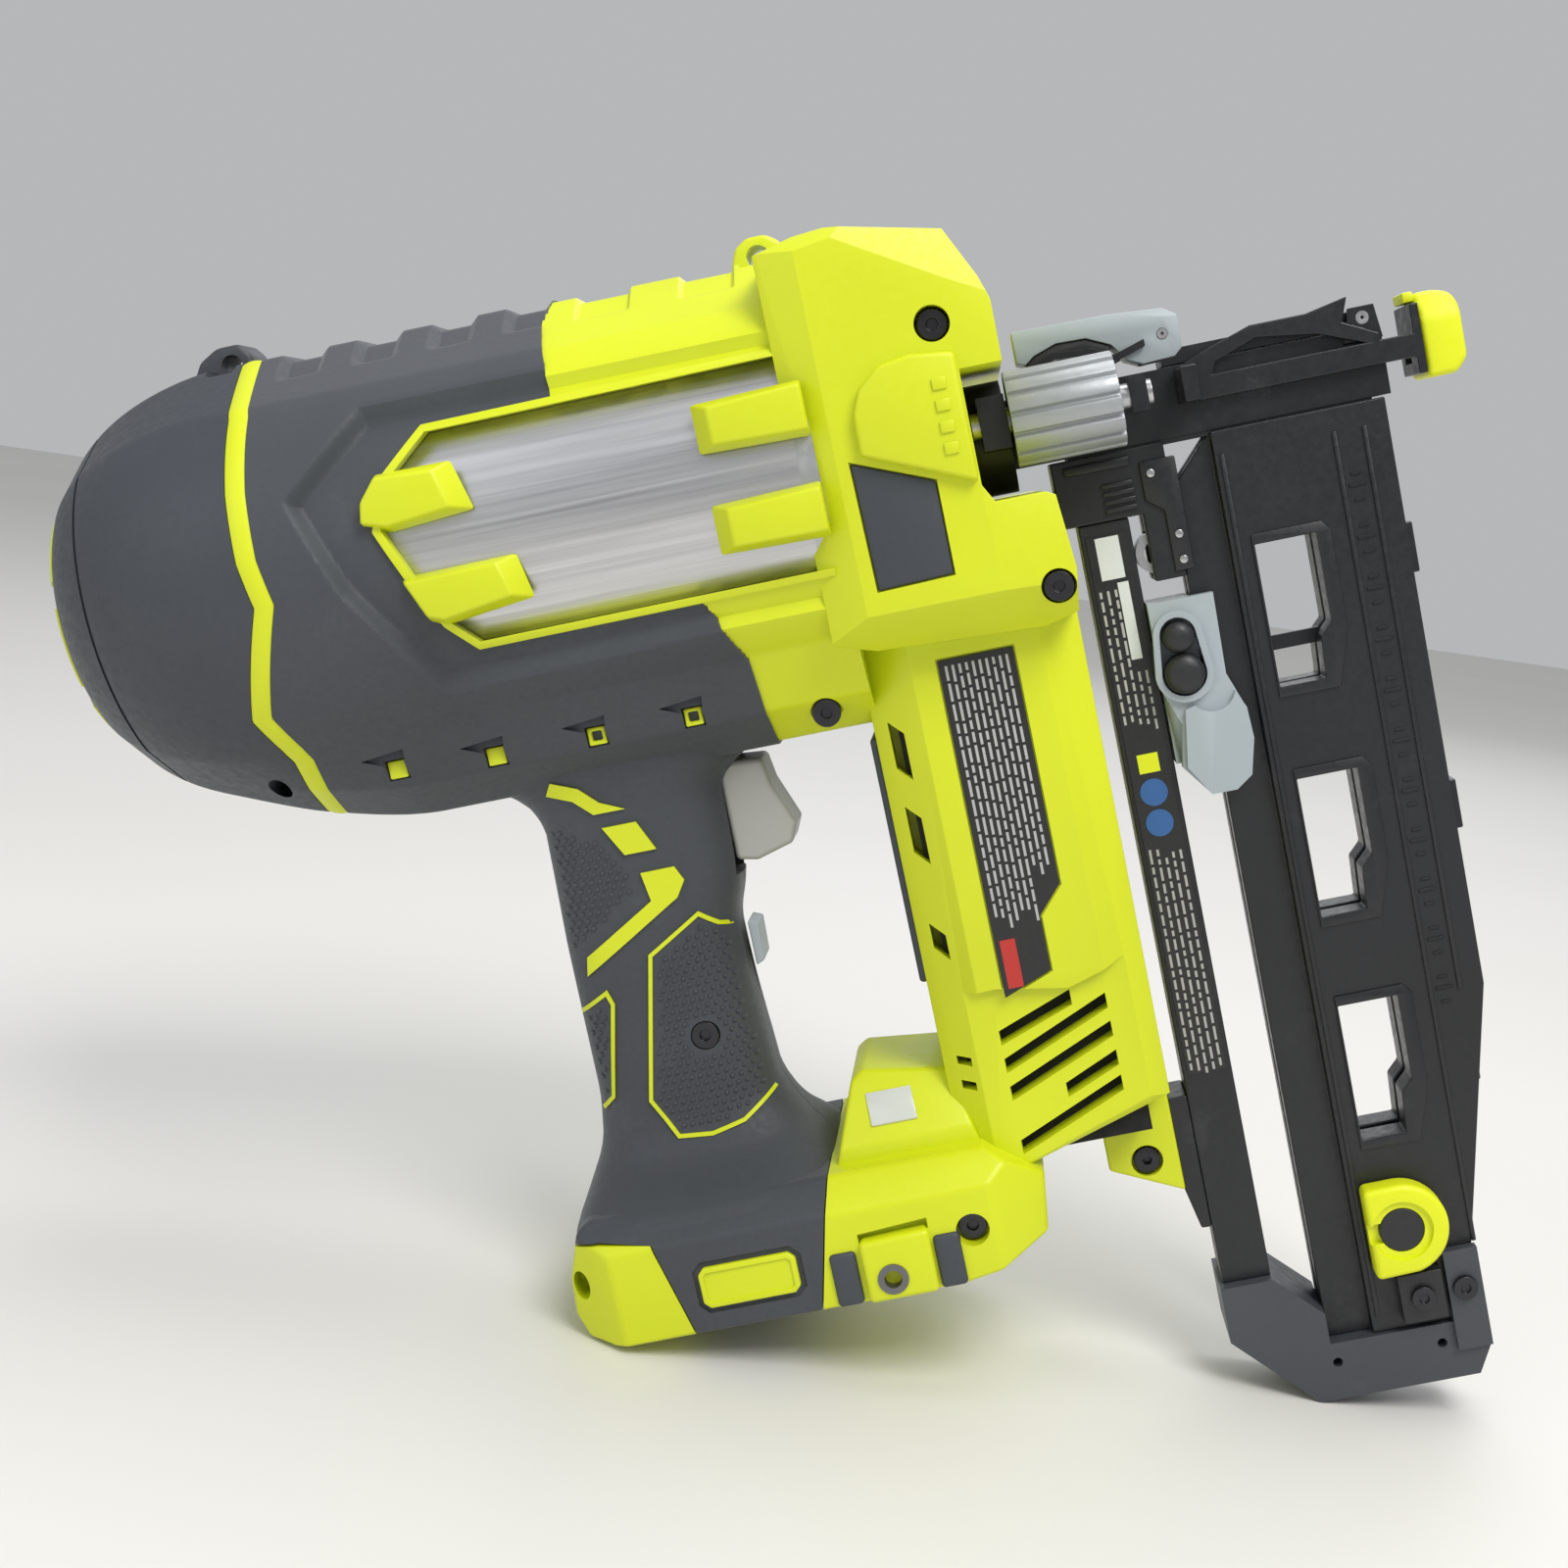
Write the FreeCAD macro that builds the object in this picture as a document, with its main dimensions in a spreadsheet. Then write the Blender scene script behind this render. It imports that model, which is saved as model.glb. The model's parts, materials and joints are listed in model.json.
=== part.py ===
"""Cordless finish nailer for laying floors and trim: an air-spring nail gun with a straight magazine.

Design frame: +X along the drive axis from the rear cap to the nose, +Z up, -Y the tool's right-hand side.
The drive axis is the X axis and the rear of the cap is near X = 0. Every piece is made in this frame and
then tilted nose-up, so that the tool stands on the rear edge of its battery foot and on the lower corner
of its magazine, with the origin on the floor under the middle of the whole tool.
"""

import FreeCAD, Part
import math
import os

import Sketcher

V = FreeCAD.Vector

# name, millimetres (or degrees, or a count), what it is
SIZES = [
    # shells
    ("wall", 3.0, "wall of the moulded shells"),
    ("skin", 2.5, "thickness of the soft overmould"),
    ("slack", 0.4, "gap between faces that pass each other"),
    ("reach", 70.0, "half width of the cutting blocks, wider than the tool"),
    # barrel
    ("body_radius", 52.0, "outside of the barrel"),
    ("cap_rear", 1.5, "rear of the cap"),
    ("cap_front", 54.0, "front edge of the cap"),
    ("cap_curve", 34.0, "radius of the cap's shoulder"),
    ("band_front", 59.0, "front edge of the coloured band"),
    ("barrel_front", 180.0, "where the barrel meets the head"),
    ("tube_radius", 45.5, "outside of the air cylinder"),
    ("tube_bore", 43.0, "bore of the air cylinder"),
    ("window_tip", 82.0, "rear point of the side window"),
    ("window_shoulder", 97.0, "where the window reaches its full height"),
    ("window_front", 177.0, "front edge of the side window"),
    ("window_top", 25.0, "top edge of the side window"),
    ("window_low", -23.0, "bottom edge of the side window"),
    ("mould_top_front", 127.0, "front edge of the overmould above the window"),
    ("mould_low_front", 150.0, "front edge of the overmould under the window"),
    ("lug_height", 11.0, "height of the four window lugs"),
    # head
    ("head_rear", 177.0, "rear face of the head"),
    ("head_step", 215.6, "recessed front face behind the nose flange"),
    ("head_front", 226.0, "front face of the head"),
    ("head_top", 49.0, "top of the head"),
    ("head_low", -42.0, "underside of the wide part of the head"),
    ("head_half", 46.0, "half width of the head"),
    ("head_round", 4.0, "edge radius of the head"),
    ("insert_depth", 1.5, "depth of the dark inserts in the head's sides"),
    # motor strut
    ("strut_rear", 181.0, "rear face of the motor strut"),
    ("strut_front", 231.0, "front face of the motor strut"),
    ("strut_half", 29.0, "half width of the motor strut"),
    ("strut_low", -169.0, "lowest point of the motor strut"),
    ("strut_round", 6.0, "edge radius of the motor strut"),
    ("vent_pitch", 6.2, "spacing of the slanted vents"),
    ("vent_count", 5, "number of slanted vents on each side"),
    # handle
    ("grip_rear", 97.0, "rear face of the handle"),
    ("grip_front", 140.0, "front face of the handle"),
    ("grip_half", 17.0, "half width of the handle"),
    ("grip_top", -47.0, "top of the handle, inside the barrel's skirt"),
    ("grip_low", -158.0, "bottom of the handle"),
    ("grip_round", 5.5, "edge radius of the handle"),
    # battery foot
    ("foot_rear", 84.0, "rear of the battery foot"),
    ("foot_heel", 90.0, "heel edge that the tool stands on"),
    ("foot_front", 197.0, "front of the battery foot"),
    ("foot_top", -157.0, "top of the battery foot"),
    ("foot_low", -188.5, "underside of the battery foot"),
    ("foot_half", 38.0, "half width of the battery foot"),
    ("foot_round", 5.0, "edge radius of the battery foot"),
    ("socket_rear", 101.0, "rear wall of the battery socket"),
    ("socket_front", 136.0, "front wall of the battery socket"),
    ("socket_half", 12.5, "half width of the battery socket"),
    ("socket_top", -146.0, "roof of the battery socket"),
    ("ear_half", 6.0, "half width of the two ears on top"),
    ("ear_z", 51.3, "height of the ears' holes"),
    ("ear_floor", 48.5, "floor of the grooves beside the ears, which let a pin in"),
    ("top_ear_x", 175.5, "hole of the head's ear, along the drive axis"),
    ("rear_ear_x", 50.5, "hole of the rear cap's ear, along the drive axis"),
    ("seam", 0.1, "gap between the solids that a shell half is made of"),
    ("hook_x", 160.5, "belt hook hole, along the drive axis"),
    ("hook_z", -183.0, "belt hook hole, height"),
    ("hook_bore", 2.1, "M5 tapping radius of the belt hook insert"),
    ("hook_length", 10.0, "length of the belt hook insert"),
    # magazine
    ("rail_rear", 236.0, "rear face of the nail rail"),
    ("rail_front", 248.0, "front face of the nail rail, where the nail heads run"),
    ("rail_half", 7.0, "half width of the nail rail"),
    ("rail_top", -24.0, "top of the nail rail"),
    ("rail_low", -213.0, "bottom of the nail rail"),
    ("track_rear", 259.0, "rear face of the magazine track"),
    ("track_step", 270.0, "where the track gets thicker"),
    ("track_front", 311.0, "front face of the magazine track"),
    ("track_half", 9.0, "half width of the magazine track"),
    ("track_neck", 6.0, "half width of the track's thinner strip"),
    ("track_top", -8.4, "top of the magazine track"),
    ("track_low", -232.0, "bottom of the magazine track"),
    ("track_taper", -150.0, "where the track's front edge starts to slope"),
    ("sight_rear", 275.5, "rear edge of the nail windows"),
    ("sight_front", 290.0, "front edge of the nail windows"),
    ("sight_top", -36.0, "top of the first nail window"),
    ("sight_tall", 34.0, "height of a nail window"),
    ("sight_pitch", 56.3, "spacing of the nail windows"),
    ("nail_half", 1.3, "half width of the nail slot"),
    ("cap_low", -246.5, "underside of the magazine end cap"),
    ("cap_corner", 254.0, "corner of the end cap that the tool stands on"),
    ("cap_half", 10.5, "half width of the magazine end cap"),
    # pusher
    ("pusher_top", -44.5, "top of the pusher"),
    ("pusher_low", -91.5, "bottom of the pusher's thumb tab"),
    ("pusher_out", 13.0, "how far the pusher stands out to the right"),
    ("button_out", 16.0, "face of the pusher's button"),
    # nose
    ("flange_radius", 13.2, "nose flange"),
    ("flange_front", 224.4, "front face of the nose flange"),
    ("nose_front", 313.0, "front face of the nose block"),
    ("nose_half", 7.0, "half width of the nose block"),
    ("nose_high", 8.0, "half height of the nose block"),
    ("blade_half", 2.4, "half width of the driver blade"),
    ("blade_high", 1.1, "half thickness of the driver blade"),
    ("blade_gap", 0.3, "clearance round the driver blade"),
    ("screw_y", -20.0, "depth screw, sideways"),
    ("screw_z", 3.0, "depth screw, height"),
    ("screw_radius", 2.95, "depth screw"),
    ("wheel_bore", 3.0, "bore of the depth wheel"),
    ("wheel_radius", 10.8, "depth wheel"),
    ("wheel_rear", 224.9, "rear face of the depth wheel"),
    ("wheel_front", 250.0, "front face of the depth wheel"),
    ("wheel_ribs", 16, "number of flutes round the depth wheel"),
    ("arm_face", 319.6, "rear face of the contact arm's front plate"),
    ("pad_front", 331.5, "front of the no-mar pad, the tool's foremost point"),
    ("pad_rear", 319.2, "rear face of the no-mar pad"),
    ("door_rear", 262.0, "rear end of the nose door"),
    ("hinge_x", 309.0, "nose door hinge, along the drive axis"),
    ("hinge_z", 10.2, "nose door hinge, height"),
    ("hinge_pin", 1.5, "nose door hinge pin"),
    ("pin_slack", 0.05, "running clearance on the hinge pins"),
    ("latch_x", 263.5, "jam latch pivot, along the drive axis"),
    ("latch_z", 15.8, "jam latch pivot, height"),
    ("latch_round", 3.2, "round end of the jam latch"),
    # air spring and drive
    ("stage_radius", 18.0, "outside of the inner drive cylinder"),
    ("stage_bore", 15.5, "bore of the inner drive cylinder"),
    ("seal_gap", 0.3, "clearance of the pistons in their bores"),
    ("crank_x", 205.0, "crank and motor axis, along the drive axis"),
    ("crank_z", -27.0, "crank axis, height"),
    ("crank_throw", 11.0, "crank throw, half the compression stroke"),
    ("crank_web", 13.5, "radius of the crank webs"),
    ("rod_inner", 18.0, "inner face of the connecting rods"),
    ("rod_outer", 21.5, "outer face of the connecting rods"),
    ("web_inner", 14.3, "inner face of the crank webs"),
    ("web_outer", 17.0, "outer face of the crank webs"),
    ("gear_radius", 11.0, "crown gear"),
    ("gear_teeth", 24, "teeth on the crown gear"),
    ("pinion_teeth", 10, "teeth on the output pinion"),
    ("box_top", -50.0, "top of the gearbox"),
    ("box_low", -76.0, "bottom of the gearbox"),
    ("box_radius", 20.0, "gearbox case"),
    ("motor_top", -80.0, "top of the motor can"),
    ("motor_low", -134.0, "bottom of the motor can"),
    ("motor_radius", 19.0, "motor can"),
    ("shaft_radius", 2.5, "motor shaft"),
    # trigger
    ("trigger_rear", 141.0, "where the trigger leaves the handle"),
    ("trigger_tip", 157.0, "tip of the trigger"),
    ("trigger_half", 8.1, "half width of the trigger"),
]


class Dim:
    """A size: its number, and the expression that reads it from the sheet."""

    def __init__(self, number, text):
        self.number = number
        self.text = text

    def __add__(self, other):
        other = dim(other)
        return Dim(self.number + other.number, f"({self.text} + {other.text})")

    def __radd__(self, other):
        return dim(other) + self

    def __sub__(self, other):
        other = dim(other)
        return Dim(self.number - other.number, f"({self.text} - {other.text})")

    def __rsub__(self, other):
        return dim(other) - self

    def __mul__(self, other):
        other = dim(other)
        return Dim(self.number * other.number, f"({self.text} * {other.text})")

    def __rmul__(self, other):
        return dim(other) * self

    def __truediv__(self, other):
        other = dim(other)
        return Dim(self.number / other.number, f"({self.text} / {other.text})")

    def __neg__(self):
        return Dim(-self.number, f"(0 - {self.text})")


def dim(size):
    """A plain number as a size."""
    if isinstance(size, Dim):
        return size
    return Dim(float(size), f"({float(size)})")


class Sheet:
    """The driving dimensions, each one readable as an attribute."""

    def __init__(self, doc, table):
        page = doc.addObject("Spreadsheet::Sheet", "Sizes")
        for row, (alias, number, note) in enumerate(table, start=1):
            page.set(f"A{row}", alias)
            page.set(f"B{row}", str(number))
            page.setAlias(f"B{row}", alias)
            page.set(f"C{row}", note)
            setattr(self, alias, Dim(float(number), f"Sizes.{alias}"))


doc = FreeCAD.newDocument("FinishNailer")
D = Sheet(doc, SIZES)
doc.recompute()
NODES = {}


def bind(thing, field, size):
    thing.setExpression(field, dim(size).text)


def named(kind, name):
    thing = doc.addObject(kind, name)
    thing.Label = name
    return thing


def node(name, thing):
    """Declares a finished piece: its label names its file."""
    thing.Label = name
    NODES[name] = thing
    return thing


# ---------------------------------------------------------------- building blocks


def box(name, x, y, z):
    """A block between two values on each axis."""
    block = named("Part::Box", name)
    for field, axis, (low, high) in (("Length", "x", x), ("Width", "y", y), ("Height", "z", z)):
        bind(block, field, dim(high) - low)
        bind(block, f"Placement.Base.{axis}", low)
    return block


TURNS = {
    "x": FreeCAD.Rotation(V(0, 1, 0), 90),
    "y": FreeCAD.Rotation(V(1, 0, 0), -90),
    "z": FreeCAD.Rotation(),
}


def rod(name, axis, radius, along, centre):
    """A cylinder along an axis between two values; centre gives its other two coordinates in order."""
    cylinder = named("Part::Cylinder", name)
    cylinder.Placement = FreeCAD.Placement(V(), TURNS[axis])
    bind(cylinder, "Radius", radius)
    bind(cylinder, "Height", dim(along[1]) - along[0])
    bind(cylinder, f"Placement.Base.{axis}", along[0])
    others = [letter for letter in "xyz" if letter != axis]
    for letter, place in zip(others, centre):
        bind(cylinder, f"Placement.Base.{letter}", place)
    return cylinder


def joined(name, *things):
    whole = named("Part::MultiFuse", name)
    whole.Shapes = list(things)
    return whole


def cut(name, base, *tools):
    """The base with every tool taken out of it."""
    result = named("Part::Cut", name)
    result.Base = base
    result.Tool = tools[0] if len(tools) == 1 else joined(f"{name}_tools", *tools)
    return result


def shared(name, base, tool):
    result = named("Part::Common", name)
    result.Base = base
    result.Tool = tool
    return result


def tube(name, axis, radius, bore, along, centre):
    """A ring or a pipe; its bore runs past both ends."""
    outer = rod(f"{name}_outside", axis, radius, along, centre)
    inner = rod(f"{name}_bore", axis, bore, (dim(along[0]) - 1, dim(along[1]) + 1), centre)
    return cut(name, outer, inner)


PLANES = {
    # plane: role of the origin plane, the sign of its normal along the third axis, that axis
    "XZ": ("XZ_Plane", -1.0, "y"),
    "XY": ("XY_Plane", 1.0, "z"),
    "YZ": ("YZ_Plane", 1.0, "x"),
}


def outline(body, plane, points, middle):
    """A closed sketch whose corners are bound to the sheet, on a plane moved to middle."""
    role, sign, _ = PLANES[plane]
    sketch = body.newObject("Sketcher::SketchObject", f"{body.Name}_sketch")
    sketch.AttachmentSupport = ([o for o in body.Origin.OriginFeatures if o.Role == role][0], [""])
    sketch.MapMode = "FlatFace"
    bind(sketch, "AttachmentOffset.Base.z", dim(middle) * sign)
    corners = [(dim(u), dim(w)) for u, w in points]
    count = len(corners)
    for index, (u, w) in enumerate(corners):
        after_u, after_w = corners[(index + 1) % count]
        sketch.addGeometry(
            Part.LineSegment(V(u.number, w.number, 0), V(after_u.number, after_w.number, 0)), False
        )
    for index in range(count):
        sketch.addConstraint(Sketcher.Constraint("Coincident", index, 2, (index + 1) % count, 1))
    for index, corner in enumerate(corners):
        for kind, size in zip(("DistanceX", "DistanceY"), corner):
            limit = Sketcher.Constraint(kind, -1, 1, index, 1, size.number)
            sketch.setExpression(f"Constraints[{sketch.addConstraint(limit)}]", size.text)
    return sketch


def across(thing, axis):
    """Names of the straight edges that run along an axis."""
    direction = {"x": V(1, 0, 0), "y": V(0, 1, 0), "z": V(0, 0, 1)}[axis]
    names = []
    for index, edge in enumerate(thing.Shape.Edges, start=1):
        straight = isinstance(edge.Curve, Part.Line)
        if straight and abs(edge.tangentAt(edge.FirstParameter).dot(direction)) > 0.999:
            names.append(f"Edge{index}")
    return names


def rims(thing, axis):
    """Names of the edges that lie in planes square to an axis."""
    names = []
    for index, edge in enumerate(thing.Shape.Edges, start=1):
        low, high = (getattr(edge.BoundBox, f"{axis.upper()}{end}") for end in ("Min", "Max"))
        if high - low < 0.001:
            names.append(f"Edge{index}")
    return names


def plate(name, points, span, plane="XZ", corners=0.0, rim=0.0):
    """A body padded from an outline across a span, with rounded corners and rounded rims."""
    body = named("PartDesign::Body", name)
    low, high = dim(span[0]), dim(span[1])
    axis = PLANES[plane][2]
    pad = body.newObject("PartDesign::Pad", f"{name}_pad")
    pad.Profile = outline(body, plane, points, (low + high) / 2)
    pad.Midplane = True
    bind(pad, "Length", high - low)
    last = pad
    for label, size, choose in (("corners", corners, across), ("rims", rim, rims)):
        if dim(size).number > 0:
            doc.recompute()
            rounded = body.newObject("PartDesign::Fillet", f"{name}_{label}")
            rounded.Base = (last, choose(last, axis))
            bind(rounded, "Radius", size)
            last = rounded
    body.Tip = last
    return body


def mirrored(name, thing):
    """The same piece on the tool's other side."""
    other = named("Part::Mirroring", name)
    other.Source = thing
    other.Normal = V(0, 1, 0)
    return other


def both(name, make):
    """A piece made for the right-hand side and its mirror image, joined."""
    right = make(f"{name}_near")
    return joined(name, right, mirrored(f"{name}_far", make(f"{name}_twin")))


def grouped(name, thing, sections):
    """The piece as one solid for each section, so that each can be closed and simple."""
    group = named("Part::Compound", name)
    group.Links = [shared(f"{name}_{label}", thing, section) for label, section in sections]
    return group


WIDE = (-60, 60)
TALL = (-300, 100)
EAR_ROOM = {"top": (167, 185), "rear": (41, 55)}
EAR_WIDTH = (-7, 7)
EAR_HEIGHT = (47.4, 70)


def half(name, thing, side):
    """The part of a shell on one side of the tool's middle plane."""
    y = (-D.reach, 0) if side == "right" else (0, D.reach)
    return shared(name, thing, box(f"{name}_half", (-20, 400), y, (-300, 100)))


# ---------------------------------------------------------------- outlines, as X and Z


def head_outline():
    return [
        (D.head_rear, D.head_top - 1.5),
        (D.head_rear + 10, D.head_top),
        (D.head_front - 8, D.head_top - 3),
        (D.head_front, 30),
        (D.head_front, -14),
        (D.strut_front + 1.5, -29),
        (D.strut_front + 1.5, D.head_low),
        (D.head_rear, D.head_low),
    ]


def strut_outline():
    return [
        (D.strut_rear, -30),
        (D.strut_front, -30),
        (D.strut_front, D.strut_low + 10),
        (D.strut_rear + 7, D.strut_low),
        (D.strut_rear, D.strut_low + 10),
    ]


def grip_outline(inset):
    """The handle's side view; inset pulls it in for the core under the soft skin."""
    return [
        (D.grip_rear + 3 + inset, D.grip_top),
        (D.grip_rear + 3 + inset, -64),
        (D.grip_rear + inset, -97),
        (D.grip_rear + inset, -132),
        (D.grip_rear - 3 + inset, -148),
        (D.foot_rear + 8, D.grip_low),
        (D.grip_front + 12, D.grip_low),
        (D.grip_front - inset, -140),
        (D.grip_front - inset, -100),
        (D.grip_front + 3 - inset, -80),
        (D.grip_front + 3 - inset, D.grip_top),
    ]


def foot_outline():
    return [
        (D.foot_rear, D.foot_low + 9),
        (D.foot_rear + 4, D.foot_top - 5),
        (D.foot_rear + 8, D.foot_top),
        (D.foot_front - 13, D.foot_top),
        (D.foot_front + 2, D.foot_top - 12),
        (D.foot_front, D.foot_low + 5),
        (D.foot_front - 20, D.foot_low),
        (D.foot_heel, D.foot_low),
    ]


def window_outline(margin):
    """The side window, open at its front into the head; margin widens it."""
    return [
        (D.window_tip - margin, 1),
        (D.window_shoulder - 9 - margin, 13),
        (D.window_shoulder - margin, D.window_top + margin),
        (D.window_front, D.window_top + margin),
        (D.window_front, D.window_low - margin),
        (D.window_shoulder - margin, D.window_low - margin),
        (D.window_shoulder - 8 - margin, -14),
    ]


def mould_outline():
    """Where the barrel is covered by the soft overmould."""
    return [
        (D.band_front, D.body_radius + 2),
        (D.mould_top_front, D.body_radius + 2),
        (D.mould_top_front - 2, 20),
        (D.mould_top_front - 2, -20),
        (D.mould_low_front, D.window_low - 1),
        (D.mould_low_front + 7, -46),
        (D.mould_low_front + 10, -D.body_radius - 2),
        (D.band_front, -D.body_radius - 2),
    ]


def foot_mould_outline():
    """The dark middle of the battery foot."""
    return [
        (D.foot_rear + 23, D.foot_top - 9.5),
        (D.foot_rear + 3, D.foot_top - 6),
        (D.foot_rear + 3, D.foot_top + 5),
        (D.grip_front + 11, D.foot_top + 5),
        (D.grip_front + 9, D.foot_top),
        (D.grip_front + 1, D.foot_low - 1),
        (D.foot_rear + 28, D.foot_low - 1),
    ]


# ---------------------------------------------------------------- shells


def overmould_blank(name):
    """The soft skin of barrel, handle and foot, both halves together."""
    ring = tube(f"{name}_ring", "x", D.body_radius, D.body_radius - D.skin,
                (D.band_front, D.mould_low_front + 12), (0, 0))
    area = plate(f"{name}_area", mould_outline(), (-D.reach, D.reach))
    sight = plate(f"{name}_sight", window_outline(D.skin), (-D.reach, D.reach))
    barrel = cut(f"{name}_barrel", shared(f"{name}_covered", ring, area), sight)
    outer = plate(f"{name}_grip", grip_outline(0), (-D.grip_half, D.grip_half), rim=D.grip_round)
    core = plate(f"{name}_core", grip_outline(D.skin), (D.skin - D.grip_half, D.grip_half - D.skin),
                 rim=D.grip_round - D.skin)
    bore = rod(f"{name}_clear", "x", D.body_radius - 0.01, (50, 190), (0, 0))
    below = box(f"{name}_below", (80, 160), (-40, 40), (D.foot_low, D.foot_top))
    grip = cut(f"{name}_sleeve", outer, core, bore, below)
    foot = plate(f"{name}_foot", foot_outline(), (-D.foot_half, D.foot_half), rim=D.foot_round)
    middle = plate(f"{name}_middle", foot_mould_outline(), (-D.reach, D.reach))
    inner = box(f"{name}_inner", (80, 160), (D.skin - D.foot_half, D.foot_half - D.skin),
                (D.foot_low - 1, D.foot_top + 10))
    cheeks = cut(f"{name}_cheeks", shared(f"{name}_cover", foot, middle), inner)
    return joined(name, barrel, grip, cheeks)


def vents(name):
    """Slanted slots low on the strut's side and upright slots on its rear corner."""
    slots = []
    for index in range(int(D.vent_count.number)):
        low = D.strut_low + 7 + index * D.vent_pitch + (4 if index else 0)
        rear = D.strut_rear + 14
        slots.append(plate(f"{name}_{index}", [
            (rear, low), (rear + 26, low + 10.5), (rear + 26, low + 13.3), (rear, low + 2.8),
        ], (-D.reach, -D.strut_half + 7)))
    for index, (low, high) in enumerate(((-74, -60), (-93, -79), (-116, -107), (-142, -139), (-148, -145))):
        slots.append(box(f"{name}_rear_{index}", (D.strut_rear - 2, D.strut_rear + 6),
                         (-D.strut_half + 1, -D.strut_half + 12), (low, high)))
    return joined(name, *slots)


SCREW_PLACES = [
    # X, Z, how deep the head sits from the outside, distance of that outside from the middle plane
    (212.0, 25.5, 5.0, 46.0),
    (228.0, -34.5, 3.0, 46.0),
    (171.0, -53.5, 3.0, 26.0),
    (126.0, -124.0, 2.0, 17.0),
    (180.5, -176.0, 5.0, 38.0),
]


MAGAZINE_SCREWS = [
    # X, Z, distance of the face under the head from the middle plane
    (293.5, -223, D.cap_half + 1.5),
    (283, -223.2, D.track_half + 4),
]


def screw_wells(name):
    wells = []
    for index, (x, z, depth, face) in enumerate(SCREW_PLACES):
        wells.append(rod(f"{name}_well_{index}", "y", 3.6, (-face - 1, depth - face), (x, z)))
        wells.append(rod(f"{name}_hole_{index}", "y", 1.75, (-face, 20.0), (x, z)))
    return joined(name, *wells)


def housing_blank(name):
    """The hard shell with its cavities, both halves together."""
    barrel = rod(f"{name}_barrel", "x", D.body_radius, (D.band_front, D.barrel_front), (0, 0))
    head = plate(f"{name}_head", head_outline(), (-D.head_half, D.head_half), rim=D.head_round)
    strut = plate(f"{name}_strut", strut_outline(), (-D.strut_half, D.strut_half), rim=D.strut_round)
    neck = plate(f"{name}_neck", [(148, -30), (D.strut_rear + 2, -30), (D.strut_rear + 2, -60),
                                  (160, -56), (148, -54)], (-26, 26))
    grip = plate(f"{name}_grip", grip_outline(D.skin), (D.skin - D.grip_half, D.grip_half - D.skin),
                 rim=D.grip_round - D.skin)
    foot = plate(f"{name}_foot", foot_outline(), (-D.foot_half, D.foot_half), rim=D.foot_round)
    plateau = plate(f"{name}_plateau", [(150, D.foot_top - 2), (157, -142), (D.strut_rear + 2, -144),
                                        (D.strut_rear + 2, D.foot_top - 2)], (-26, 26), rim=3)
    tab = plate(f"{name}_tab", [(213, -160), (D.strut_front, -158), (D.strut_front, -187),
                                (D.strut_front - 17, -179)], (-8, 8))
    ear = plate(f"{name}_ear", [(168, 45), (171, 56), (180, 56), (184, 45)], (-D.ear_half, D.ear_half), corners=2)
    bosses = both(f"{name}_bosses", lambda label: plate(label, [
        (191, -2), (191, 6), (194.5, 13), (203, 17.5), (D.head_step - 0.5, 17.5), (D.head_step - 0.5, -8),
    ], (-D.head_half - 2.5, -D.head_half + 2)))
    hook_pads = both(f"{name}_hook_pads", lambda label: box(
        label, (D.hook_x - 8, D.hook_x + 9), (-D.foot_half - 3, -D.foot_half + 6),
        (D.foot_low, D.foot_low + 16)))
    return joined(f"{name}", barrel, head, strut, neck, grip, foot, plateau, tab, ear, bosses, hook_pads)


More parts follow.
